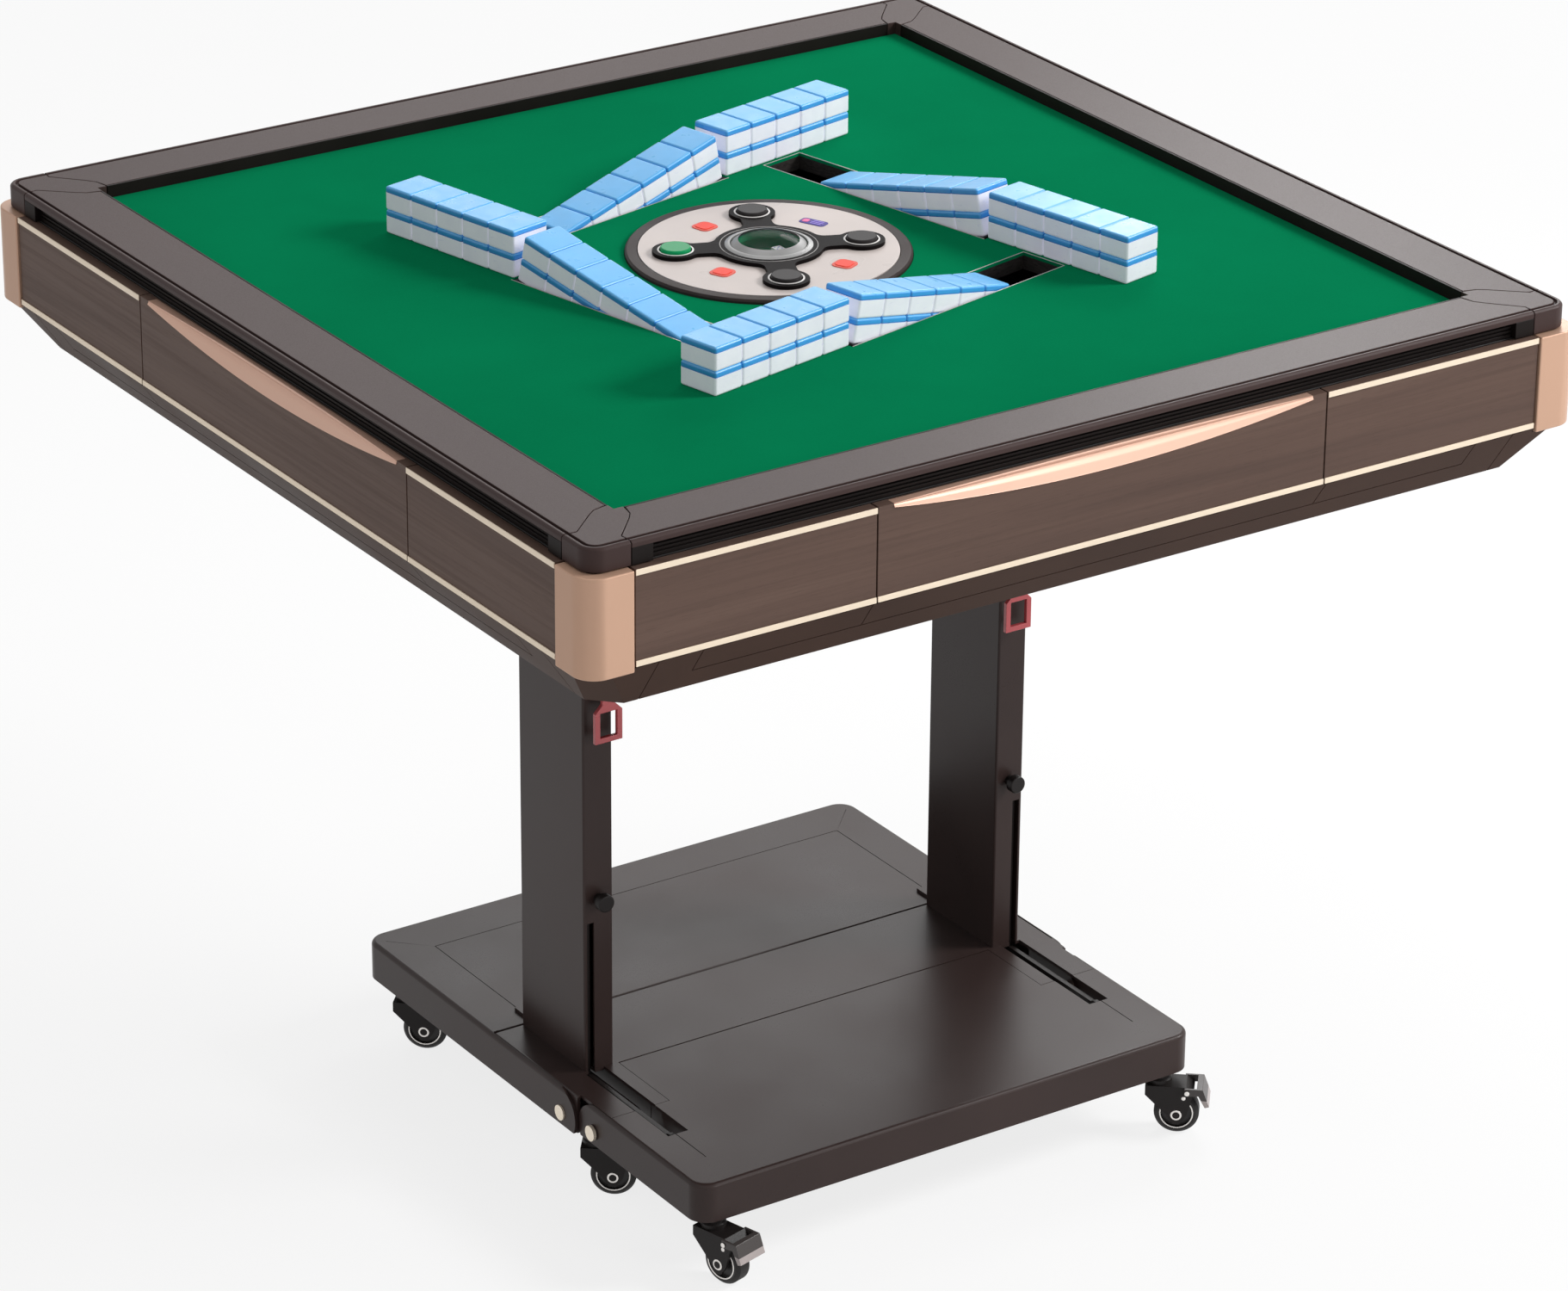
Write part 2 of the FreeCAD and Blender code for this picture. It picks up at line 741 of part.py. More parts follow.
def shell_seams():
    """The grooves that part one side of the shell into its moulded fields."""
    half = s.seam_width / 2
    level = SHELL_TOP - s.shell_seam_drop
    long_seam = box("shell_long_seam", (-s.shell_seam_half - half, s.shell_seam_half + half),
                    (shell_face(0), shell_face(s.shell_seam_drop) + s.seam_depth),
                    (level - half, level + half))
    right = [upright_seam("shell_inner_seam", s.shell_seam_inner, s.shell_seam_drop),
             upright_seam("shell_outer_seam", s.shell_seam_half, s.shell_seam_drop),
             upright_seam("shell_end_seam", s.shell_end_seam, SHELL_TOP - SHELL_BOTTOM)]
    return [long_seam] + both_sides(right)


def bottom_shell():
    """The moulded pan that closes the machine below, drawn in towards the floor."""
    low = BAND_FACE - s.shell_inset
    outer = loft("shell_outer", [(SHELL_BOTTOM, eight_corners(low, s.shell_corner)),
                                 (SHELL_TOP, eight_corners(BAND_FACE, s.shell_corner))])
    inner = loft("shell_inner", [(SHELL_FLOOR, eight_corners(low - s.shell_wall, s.shell_corner)),
                                 (SHELL_TOP + 1, eight_corners(BAND_FACE - s.shell_wall, s.shell_corner))])
    notch_low = s.table_half - s.post_width - s.panel_seam
    notch = box("post_notch", (notch_low, s.table_half), (-s.table_half, -notch_low),
                (BAND_BOTTOM - s.post_drop - s.panel_seam, BAND_BOTTOM))
    tools = four_sides("post_notch", [notch]) + four_sides("shell_seam", shell_seams())
    node("bottom_shell", [cut("shell_pan", outer, inner, *tools)])


def runner():
    """An upright plate with the ledge that one side of a drawer tray slides on."""
    inner = TRAY_HALF + s.clearance
    ledge = BAND_BOTTOM + s.tray_lift - s.clearance
    top = ledge + s.tray_height / 2
    profile = [(inner, SHELL_FLOOR), (inner + s.runner_wall, SHELL_FLOOR), (inner + s.runner_wall, top),
               (inner, top), (inner, ledge), (inner - s.runner_ledge, ledge),
               (inner - s.runner_ledge, ledge - s.runner_wall), (inner, ledge - s.runner_wall)]
    rear = -BAND_BACK + s.tray_depth - s.runner_ledge
    front = -(BAND_FACE - s.shell_inset - s.shell_wall - s.runner_wall)
    return prism("runner_plate", "Y", profile, (front, rear))


def tilt_bracket():
    """The plate under the machine that carries the tilt bore and the link's upper pin."""
    inner = COLUMN_INNER + s.column_wall + s.boss_wall + s.tray_seam
    outer = inner + s.bracket_wall
    span = (inner, outer)
    eye = rod("bracket_eye", (s.tilt_axis_y, TILT_Z), s.bracket_boss, span, "X")
    tip = rod("bracket_tip", (LINK_PIN_Y, LINK_PIN_Z), s.link_boss + s.tray_seam, span, "X")
    web = prism("bracket_web", "X",
                [(LINK_PIN_Y, LINK_PIN_Z - s.link_boss), (s.tilt_axis_y, TILT_Z - s.bracket_boss),
                 (s.tilt_axis_y - s.bracket_boss / 2, TILT_Z + s.bracket_boss - 1),
                 (s.tilt_axis_y - s.bracket_boss * 2, SHELL_BOTTOM),
                 (LINK_PIN_Y - s.link_boss, SHELL_BOTTOM),
                 (LINK_PIN_Y - s.link_boss, LINK_PIN_Z)], span)
    foot = box("bracket_foot", (inner - s.bracket_boss, outer + s.bracket_boss),
               (LINK_PIN_Y - s.bracket_boss * 2, s.tilt_axis_y - s.bracket_boss * 2),
               (SHELL_BOTTOM - s.sheet_wall, SHELL_BOTTOM))
    pin = rod("bracket_pin", (LINK_PIN_Y, LINK_PIN_Z), s.link_pin,
              (inner, LINK_INNER + s.link_wall + s.tray_seam), "X")
    bore = rod("bracket_bore", (s.tilt_axis_y, TILT_Z), s.pin_radius + s.running, through(inner, outer),
               "X")
    return cut("bracket_bored", fuse("bracket_solid", eye, tip, web, foot, pin), bore)


def chassis_frame():
    """Top ring, corner legs, drawer runners and the two tilt brackets."""
    outer = BAND_BACK - s.clearance
    low = FRAME_BOTTOM - s.ring_height
    ring = prism("ring_blank", "Z", eight_corners(outer, s.post_round / 2), (low, FRAME_BOTTOM))
    bay = BAND_BACK - s.ring_width
    window = box("ring_window", (-bay, bay), (-bay, bay), through(low, FRAME_BOTTOM))
    ledge = box("ring_ledge", (-RAIL_INNER, RAIL_INNER), (-RAIL_INNER, RAIL_INNER),
                (BOARD_BOTTOM, FRAME_BOTTOM + 1))
    ring = cut("ring_stepped", ring, window, ledge)
    leg_outer = BAND_BACK - s.leg_inset
    leg_inner = leg_outer - s.leg_size
    leg = box("chassis_leg", (leg_inner, leg_outer), (-leg_outer, -leg_inner), (SHELL_FLOOR, low))
    plate = runner()
    bracket = tilt_bracket()
    parts = [ring, bracket, mirrored("bracket_left", bracket)]
    parts += four_sides("leg", [leg])
    parts += four_sides("runner", [plate, mirrored("runner_plate_left", plate)])
    node("chassis_frame", parts)


def drive_unit():
    """The fixed hub with the drum's shaft and the console's guide rod, and the drum's motor."""
    hub_top = SHELL_FLOOR + s.hub_height
    shaft_top = hub_top + s.shaft_height
    hub = lathe("hub_column", [(0, SHELL_FLOOR), (s.hub_radius, SHELL_FLOOR), (s.hub_radius, hub_top),
                               (s.shaft_radius, hub_top), (s.shaft_radius, shaft_top),
                               (s.guide_radius, shaft_top), (s.guide_radius, shaft_top + s.guide_height),
                               (0, shaft_top + s.guide_height)])
    motor_top = hub_top + s.drum_wall - s.clearance - s.roller_height
    motor = lathe("motor_can",
                  [(0, SHELL_FLOOR), (s.motor_radius, SHELL_FLOOR), (s.motor_radius, motor_top),
                   (s.roller_radius, motor_top), (s.roller_radius, motor_top + s.roller_height),
                   (0, motor_top + s.roller_height)], (s.motor_offset, s.motor_offset / 2))
    node("drive_unit", [hub, motor])


def shuffle_drum():
    """The turning tray that mixes the tiles."""
    low = SHELL_FLOOR + s.hub_height + s.clearance
    floor = low + s.drum_wall
    bore = s.shaft_radius + s.running
    inner = s.drum_radius - s.drum_wall
    drum = lathe("drum_tray", [(bore, low), (s.drum_hub_radius, low), (s.drum_hub_radius, floor),
                               (s.drum_radius, floor), (s.drum_radius, floor + s.drum_rim),
                               (inner, floor + s.drum_rim), (inner, floor + s.drum_wall),
                               (s.drum_hub_radius, floor + s.drum_wall),
                               (s.drum_hub_radius - s.drum_wall, floor + s.drum_rim - s.drum_wall),
                               (bore, floor + s.drum_rim - s.drum_wall)])
    node("shuffle_drum", [drum])


# ---- console -------------------------------------------------------------------------------------------

CONSOLE_TOP = MAT_TOP + s.console_rise
PLATE_BOTTOM = CONSOLE_TOP - s.console_wall
WELL_FLOOR = CONSOLE_TOP - s.well_depth
COVER_TOP = CONSOLE_TOP + s.cover_thick
DOME_STEPS = 6


def on_arms(name, parts):
    """The parts, drawn on +X, repeated on the console's four arms."""
    return [turned(f"{name}{count}", parts, number(s.arm_angle) + 90 * count) for count in range(4)]


def console_disc():
    """The lifting console: top plate, outer skirt, dice well and the guide tube below."""
    well = s.dice_well
    wall = s.console_wall
    low = WELL_FLOOR - wall
    foot = WELL_FLOOR - s.stem_length
    guide = s.guide_radius + s.running
    axle = s.axle_radius + s.running
    shell = lathe("console_shell", [
        (well, CONSOLE_TOP), (s.console_radius, CONSOLE_TOP),
        (s.console_radius, CONSOLE_TOP - s.console_skirt),
        (s.console_radius - wall, CONSOLE_TOP - s.console_skirt), (s.console_radius - wall, PLATE_BOTTOM),
        (well + wall, PLATE_BOTTOM), (well + wall, low), (s.stem_radius, low), (s.stem_radius, foot),
        (guide, foot), (guide, low), (axle, low), (axle, WELL_FLOOR), (well, WELL_FLOOR)])
    hole = rod("button_hole", (s.button_orbit, 0), s.button_radius + s.clearance,
               through(PLATE_BOTTOM, CONSOLE_TOP))
    node("console_disc", [cut("console_pierced", shell, *on_arms("button_hole_arm", [hole]))])


def console_cover():
    """The dark cover: a ring round the dice well and four arms that end in button seats."""
    span = (CONSOLE_TOP, COVER_TOP)
    middle = rod("cover_ring", (0, 0), COVER_RADIUS, span)
    half = s.arm_width / 2
    arm = box("cover_arm", (s.dice_well, s.button_orbit), (-half, half), span)
    seat = rod("cover_seat", (s.button_orbit, 0), s.button_seat, span)
    star = fuse("cover_star", middle, *on_arms("cover_arm_turn", [arm]),
                *on_arms("cover_seat_turn", [seat]))
    beyond_ring = number(COVER_RADIUS + s.seat_fillet)
    star = eased("cover_ring_fillets", star, s.arm_fillet,
                 lambda at, along: upright(along) and abs(at.y) > 0.1
                 and math.hypot(at.x, at.y) < beyond_ring)
    star = eased("cover_seat_fillets", star, s.seat_fillet,
                 lambda at, along: upright(along)
                 and beyond_ring + 5 < math.hypot(at.x, at.y) < number(s.button_orbit))
    well = rod("cover_well", (0, 0), s.dice_well, through(CONSOLE_TOP, COVER_TOP))
    hole = rod("cover_hole", (s.button_orbit, 0), s.button_radius + s.clearance,
               through(CONSOLE_TOP, COVER_TOP))
    node("console_cover", [cut("cover_pierced", star, well, *on_arms("cover_hole_turn", [hole]))])


def player_buttons():
    """One button a player, held from below by its flange."""
    top = COVER_TOP + s.button_height / 2
    flange_top = PLATE_BOTTOM - s.clearance
    flange_low = flange_top - s.button_flange
    bevel = s.clearance * 3
    rim = s.button_radius + s.button_flange
    cap = lathe("button_cap",
                [(0, flange_low), (rim, flange_low), (rim, flange_top), (s.button_radius, flange_top),
                 (s.button_radius, top - bevel), (s.button_radius - bevel, top), (0, top)],
                (s.button_orbit, 0))
    for count in range(4):
        turn = Placement(Vector(), Rotation(UNITS["Z"], number(s.arm_angle) + 90 * count))
        node(f"player_button_{count + 1}", [cap], turn)


def dice_dome():
    """A clear cap over the dice: a shallow dome, turned with its foot, which sits in the well."""
    width = s.dice_well - s.clearance
    rise = s.dome_height
    radius = (width * width + rise * rise) / (rise * 2)
    inner = radius - s.dome_wall
    middle = COVER_TOP + rise - radius
    outer_arc = dome_arc(radius, middle)
    inner_arc = dome_arc(inner, middle)
    foot = CONSOLE_TOP - s.console_wall
    profile = inner_arc + [(inner_arc[-1][0], foot), (width, foot)] + outer_arc[::-1]
    node("dice_dome", [lathe("dome_turned", profile)])


def dome_arc(radius, middle):
    """Points from the top of a dome to the cover's level, on a sphere round the given height."""
    full = math.acos(number((COVER_TOP - middle) / radius))
    turns = [full * step / DOME_STEPS for step in range(DOME_STEPS + 1)]
    return [(radius * math.sin(turn), middle + radius * math.cos(turn)) for turn in turns]


def dice_tray():
    """The spinning plate with its axle, and two dice lying on it."""
    low = WELL_FLOOR + s.clearance
    top = low + s.trunnion_radius
    plate = lathe("dice_plate",
                  [(0, WELL_FLOOR - s.console_wall), (s.axle_radius, WELL_FLOOR - s.console_wall),
                   (s.axle_radius, low), (s.dice_well - s.dome_wall * 3, low),
                   (s.dice_well - s.dome_wall * 3, top), (0, top)])
    half = s.dice_edge / 2
    first = box("first_die", (s.dice_gap, s.dice_gap + s.dice_edge), (-half, half),
                (top, top + s.dice_edge))
    second = box("second_die", (-s.dice_gap - s.dice_edge, -s.dice_gap), (-s.dice_edge, 0),
                 (top, top + s.dice_edge))
    node("dice_tray", [plate, first, second])


# ---- tiles and ramps -----------------------------------------------------------------------------------

TILE_PITCH = s.tile_width + s.tile_gap
FLAT_TILES = 5
RAMP_TILES = 6


def tile_row(name, start, count):
    """Tiles stacked two high, side by side along +X from the start."""
    half = s.tile_length / 2
    tiles = []
    for index in range(count):
        for layer in range(2):
            left = start + TILE_PITCH * index
            low = MAT_TOP + s.tile_thick * layer
            tiles.append(box(f"{name}_{index}_{layer}", (left, left + s.tile_width),
                             (-s.wall_offset - half, -s.wall_offset + half), (low, low + s.tile_thick)))
    return tiles


def tiles_on_mat():
    """The part of each wall that already stands on the mat."""
    row = tile_row("flat_tile", s.slot_start - TILE_PITCH * FLAT_TILES, FLAT_TILES)
    node("tiles_on_mat", [group(f"flat_wall{side}", row, pinwheel(side)) for side in range(4)])


def ramp_plate():
    """A ramp drawn level: plate, pivot lug and the trunnions that turn in the board."""
    half = s.slot_width / 2 - s.clearance * 3
    left = s.slot_start + s.clearance * 4
    right = s.slot_start + s.slot_length - s.clearance * 6
    axis_x = s.slot_start + s.ramp_axis_inset
    axis_z = MAT_TOP - s.ramp_axis_depth
    plate = box("ramp_deck", (left, right), (-s.wall_offset - half, -s.wall_offset + half),
                (MAT_TOP - s.ramp_thick, MAT_TOP))
    side = (-s.wall_offset - half, -s.wall_offset + half)
    lug = rod("ramp_lug", (axis_x, axis_z), s.trunnion_radius + 1, side, "Y")
    web = box("ramp_lug_web", (axis_x - s.trunnion_radius, axis_x + s.trunnion_radius), side,
              (axis_z, MAT_TOP - s.ramp_thick))
    reach = s.slot_width / 2 + s.trunnion_seat - s.clearance
    trunnion = rod("ramp_trunnion", (axis_x, axis_z), s.trunnion_radius,
                   (-s.wall_offset - reach, -s.wall_offset + reach), "Y")
    return fuse("ramp_solid", plate, lug, web, trunnion)


def lowered(name, parts):
    """The parts, drawn level, let down about the ramp's pivot."""
    drop = math.radians(number(s.ramp_drop_angle))
    axis_x = s.slot_start + s.ramp_axis_inset
    axis_z = MAT_TOP - s.ramp_axis_depth
    part = group(name, parts, Placement(Vector(), Rotation(UNITS["Y"], math.degrees(drop))))
    return place(part, (axis_x * (1 - math.cos(drop)) - axis_z * math.sin(drop), 0,
                        axis_z * (1 - math.cos(drop)) + axis_x * math.sin(drop)))


def ramps():
    """Four ramps and the tiles on them, let down about their pivots."""
    plate = lowered("ramp_lowered", [ramp_plate()])
    row = lowered("ramp_row_lowered", tile_row("ramp_tile", s.slot_start + s.clearance * 8, RAMP_TILES))
    for side, place_name in enumerate(("front", "right", "rear", "left")):
        node(f"tile_ramp_{place_name}", [plate], pinwheel(side))
        node(f"ramp_tiles_{place_name}", [row], pinwheel(side))


# ---- stand ---------------------------------------------------------------------------------------------

def base_blank(name, half, rear, front, corners_at_rear):
    """One half of the base before it is hollowed: two rounded corners and soft upper edges."""
    blank = box(f"{name}_box", (-half, half), (front, rear), (s.base_bottom, s.base_top))
    edge = number(rear if corners_at_rear else front)
    plain = number(front if corners_at_rear else rear)
    blank = eased(f"{name}_rounded", blank, s.base_corner,
                  lambda at, along: upright(along) and abs(at.y - edge) < 0.1)
    return eased(f"{name}_soft", blank, s.base_round,
                 lambda at, along: at.z > number(s.base_top) - 0.1 and abs(at.y - plain) > 0.1)


def tray_hollow(name, half, rear, front, corners_at_rear):
    """The room under a sheet-metal tray whose outside has the given extents."""
    wall = s.sheet_wall
    edge = number(rear - wall if corners_at_rear else front + wall)
    hollow = box(f"{name}_box", (-half + wall, half - wall), (front + wall, rear - wall),
                 (s.base_bottom - 1, PLATE_UNDER))
    return eased(f"{name}_rounded", hollow, s.base_corner - wall,
                 lambda at, along: upright(along) and abs(at.y - edge) < 0.1)


def pressed_lines():
    """The shallow lines pressed into the rear tray's top: a field with its two rear corners."""
    half = s.seam_width / 2
    line_x = s.base_half - s.press_inset
    line_y = s.base_rear - s.press_rear
    depth = (s.base_top - s.press_depth, s.base_top + 1)
    side_line = box("pressed_side", (line_x - half, line_x + half), (COLUMN_REAR + s.foot_tab, line_y),
                    depth)
    rear_line = box("pressed_rear", (-line_x, line_x), (line_y - half, line_y + half), depth)
    reach = s.press_inset - s.press_corner
    slant = prism("pressed_corner", "Z", [(line_x, line_y - half), (line_x + half, line_y),
                                          (line_x + reach + half, line_y + reach),
                                          (line_x + reach, line_y + reach + half)], depth)
    return [rear_line] + both_sides([side_line, slant])


def rear_tray():
    """The rear half of the base; its side plates run forward, past the columns, to a rounded end."""
    front = COLUMN_REAR + s.tray_seam
    envelope = base_blank("rear_blank", s.base_half, s.base_rear, HINGE_Y, True)
    tray = box("rear_tray_block", (-s.base_half, s.base_half), (front, s.base_rear),
               (s.base_bottom, s.base_top))
    tray = cut("rear_tray_shell", tray, tray_hollow("rear_hollow", s.base_half, s.base_rear, front, True))
    inner = s.base_half - s.sheet_wall
    span = (inner, s.base_half)
    end_y = HINGE_Y + s.brace_pin_back
    brace_z = s.hinge_height - 1
    plate = box("flange_plate", span, (end_y, COLUMN_REAR + s.base_corner), (s.base_bottom, s.base_top))
    nose = rod("flange_nose", (end_y, brace_z), s.flange_round, span, "X")
    pocket = box("caster_block", (SIDE_CASTER_X - s.caster_boss, s.base_half - s.sheet_wall / 2),
                 (REAR_CASTER_Y - s.caster_boss, REAR_CASTER_Y + s.caster_boss),
                 (s.base_bottom, PLATE_UNDER + 1))
    solid = common("rear_tray_solid", fuse("rear_tray_pieces", tray, *both_sides([plate, nose, pocket])),
                   envelope)
    hole = rod("rear_king_hole", (SIDE_CASTER_X, REAR_CASTER_Y), s.pin_radius + s.running,
               (s.base_bottom - 1, s.base_bottom + s.kingpin_rise + 1))
    bore = rod("brace_pin_hole", (end_y, brace_z), s.pin_radius + s.running, through(inner, s.base_half),
               "X")
    node("rear_tray", [cut("rear_tray_bored", solid, *pressed_lines(), *both_sides([hole, bore]))])


def mid_box():
    """The middle of the base: column plate, hinge ears, the fixed hinge arms and caster plates."""
    half = s.base_half - s.sheet_wall - s.clearance
    front = WING_REAR + s.tray_seam * 3
    top = box("mid_plate", (-half, half), (front, COLUMN_REAR), (PLATE_UNDER, s.base_top))
    skirt_front = WING_REAR + s.tray_seam * 11
    skirt = box("mid_skirt", (-EAR_INNER, EAR_INNER), (skirt_front, skirt_front + s.sheet_wall),
                (s.base_bottom, PLATE_UNDER + 1))
    back = box("mid_back", (-half, half), (COLUMN_REAR - s.sheet_wall, COLUMN_REAR),
               (s.base_bottom, PLATE_UNDER + 1))
    ear_span = (PLATE_UNDER, s.base_top)
    outer_half = WING_HALF - s.sheet_wall - s.tray_seam
    outer_ear = box("outer_ear", (SLOT_OUTER + s.tray_seam, outer_half), (EAR_FRONT, front + 1), ear_span)
    inner_ear = box("inner_ear", (EAR_INNER + s.tray_seam, SLOT_INNER - s.tray_seam),
                    (EAR_FRONT, front + 1), ear_span)
    flange_front = HINGE_Y + HINGE_DEPTH + s.tray_seam
    corner = box("mid_corner", (outer_half - 1, half), (flange_front, front + 1), ear_span)
    flange = box("mid_flange", (half - s.sheet_wall, half), (flange_front, COLUMN_REAR),
                 (s.base_bottom, s.base_top))
    arm_half = s.hinge_boss - 1
    arm_z = (s.hinge_height - arm_half, s.hinge_height + arm_half)
    arm_span = (ARM_INNER, ARM_INNER + s.arm_wall)
    arm = box("hinge_arm", arm_span, (HINGE_Y, COLUMN_REAR - 1), arm_z)
    eye = rod("hinge_eye", (HINGE_Y, s.hinge_height), arm_half, arm_span, "X")
    lug_span = (LUG_INNER, LUG_INNER + s.rib_wall)
    lug = box("hinge_lug", lug_span, (HINGE_Y, front + 1), (s.base_bottom, PLATE_UNDER + 1))
    lug_eye = rod("hinge_lug_eye", (HINGE_Y, s.hinge_height), arm_half, lug_span, "X")
    rib = box("inner_rib", (EAR_INNER + s.tray_seam, EAR_INNER + s.tray_seam + s.sheet_wall),
              (EAR_FRONT + HINGE_DEPTH, COLUMN_REAR - 1), (s.base_bottom, PLATE_UNDER + 1))
    plate_front = MIDDLE_CASTER_Y - s.swivel_radius - s.latch_pin
    caster_plate = box("caster_plate", (SLOT_OUTER + s.tray_seam, outer_half),
                       (plate_front, COLUMN_REAR - 1),
                       (s.base_bottom, s.base_bottom + s.column_wall))
    sides = [outer_ear, inner_ear, corner, flange, arm, eye, lug, lug_eye, rib, caster_plate]
    solid = fuse("mid_solid", top, skirt, back, *both_sides(sides))
    passage = box("link_passage", (LINK_INNER - 1, LINK_INNER + s.link_wall + 1),
                  (front - 1, LINK_PIN_Y + s.link_width * 1.5), through(PLATE_UNDER, s.base_top))
    bore = rod("hinge_pin_bore", (HINGE_Y, s.hinge_height), s.pin_radius + s.running,
               (ARM_INNER - 1, LUG_INNER + s.rib_wall + 1), "X")
    hole = rod("middle_king_hole", (SIDE_CASTER_X, MIDDLE_CASTER_Y), s.pin_radius + s.running,
               (s.base_bottom - 1, s.base_bottom + s.column_wall + 1))
    node("mid_box", [cut("mid_box_cut", solid, *both_sides([passage, bore, hole]))])


def columns():
    """Two hollow rectangular columns, slotted in front for the folding link."""
    blank = box("column_blank", (COLUMN_INNER, COLUMN_OUTER), (s.column_front, COLUMN_REAR),
                (s.base_top, COLUMN_TOP))
    outer = eased("column_rounded", blank, s.column_round, lambda at, along: upright(along))
    wall = s.column_wall
    bore = box("column_hollow", (COLUMN_INNER + wall, COLUMN_OUTER - wall),
               (s.column_front + wall, COLUMN_REAR - wall), through(s.base_top, COLUMN_TOP))
    centre = LINK_INNER + s.link_wall / 2
    half = s.column_slot_width / 2
    slot = box("column_slot", (centre - half, centre + half),
               (s.column_front - 1, s.column_front + wall + 1),
               (s.base_top - 1, s.column_slot_top))
    tube = cut("column_tube", outer, bore, slot)
    boss = rod("tilt_boss", (s.tilt_axis_y, TILT_Z), s.bracket_boss,
               (COLUMN_INNER + wall / 2, COLUMN_INNER + wall + s.boss_wall), "X")
    middle = COLUMN_INNER + s.column_width / 2
    tab = box("foot_tab_plate", (middle - s.foot_tab / 4, middle + s.foot_tab / 4),
              (COLUMN_REAR - wall / 2, COLUMN_REAR + s.foot_tab), (s.base_top, s.base_top + s.sheet_wall))
    tilt_bore = rod("column_tilt_bore", (s.tilt_axis_y, TILT_Z), s.pin_radius + s.running,
                    (COLUMN_INNER - 1, COLUMN_INNER + wall + s.boss_wall + 1), "X")
    column = cut("column_bored", fuse("column_solid", tube, boss, tab), tilt_bore)
    node("columns", both_sides([column]))


def column_fittings():
    """Rubber buffers on the column fronts and the forked brackets that the latches hang on."""
    middle = COLUMN_INNER + s.column_width / 2
    front = s.column_front - s.bumper_length
    neck = rod("bumper_neck", (middle, s.bumper_height), s.bumper_neck,
               (front + s.sheet_wall, s.column_front), "Y")
    head = rod("bumper_head", (middle, s.bumper_height), s.bumper_radius,
               (front, front + s.bumper_length / 2), "Y")
    bumper = eased("bumper_rounded", fuse("bumper_solid", neck, head), s.sheet_wall / 2,
                   lambda at, along: abs(at.y - number(front)) < 0.1)
    ear_inner = s.latch_stem_half + s.clearance
    axis_y = s.column_front - s.latch_forward
    reach = s.latch_pin * 2.5
    ear_span = (LATCH_CENTRE + ear_inner, LATCH_CENTRE + ear_inner + s.sheet_wall)
    ear_z = (s.latch_height - reach, s.latch_height + reach)
    ear = box("latch_ear", ear_span, (axis_y, s.column_front), ear_z)
    nose = rod("latch_ear_nose", (axis_y, s.latch_height), reach, ear_span, "X")
    far_span = (LATCH_CENTRE - ear_inner - s.sheet_wall, LATCH_CENTRE - ear_inner)
    far_ear = box("latch_far_ear", far_span, (axis_y, s.column_front), ear_z)
    far_nose = rod("latch_far_nose", (axis_y, s.latch_height), reach, far_span, "X")
    pin = rod("latch_pivot_pin", (axis_y, s.latch_height), s.latch_pin, (far_span[0], ear_span[1]), "X")
    yoke = fuse("latch_yoke", ear, nose, far_ear, far_nose, pin)
    node("column_fittings", both_sides([bumper, yoke]))


def headed_pin(name, centre, shank, head):
    """A round pin along X with a wider head: shank and head are spans."""
    return fuse(name, rod(f"{name}_shank", centre, s.pin_radius, shank, "X"),
                rod(f"{name}_head", centre, s.pin_head, head, "X"))


def pivot_pins():
    """The fixed pins: brace pins, wing hinge pins and tilt pins, each with its round head."""
    side = s.base_half
    head_low = side - s.sheet_wall
    wing_pin = headed_pin("wing_pin", (HINGE_Y, s.hinge_height), (ARM_INNER - 1, head_low),
                          (head_low, head_low + s.pin_head_thick))
    brace_pin = headed_pin("brace_pin", (HINGE_Y + s.brace_pin_back, s.hinge_height - 1),
                           (head_low - s.clearance, side), (side, side + s.sheet_wall / 2))
    tilt = (s.tilt_axis_y, TILT_Z)
    tilt_end = COLUMN_INNER + s.column_wall + s.boss_wall + s.tray_seam + s.bracket_wall + s.clearance
    tilt_foot = rod("tilt_pin_foot", tilt, s.pin_head, (COLUMN_INNER - s.sheet_wall / 2, COLUMN_INNER),
                    "X")
    tilt_shank = headed_pin("tilt_pin", tilt, (COLUMN_INNER, tilt_end),
                            (tilt_end, tilt_end + s.sheet_wall))
    node("pivot_pins", both_sides([wing_pin, brace_pin, fuse("tilt_pin_solid", tilt_shank, tilt_foot)]))


# ---- folding wing and link -----------------------------------------------------------------------------

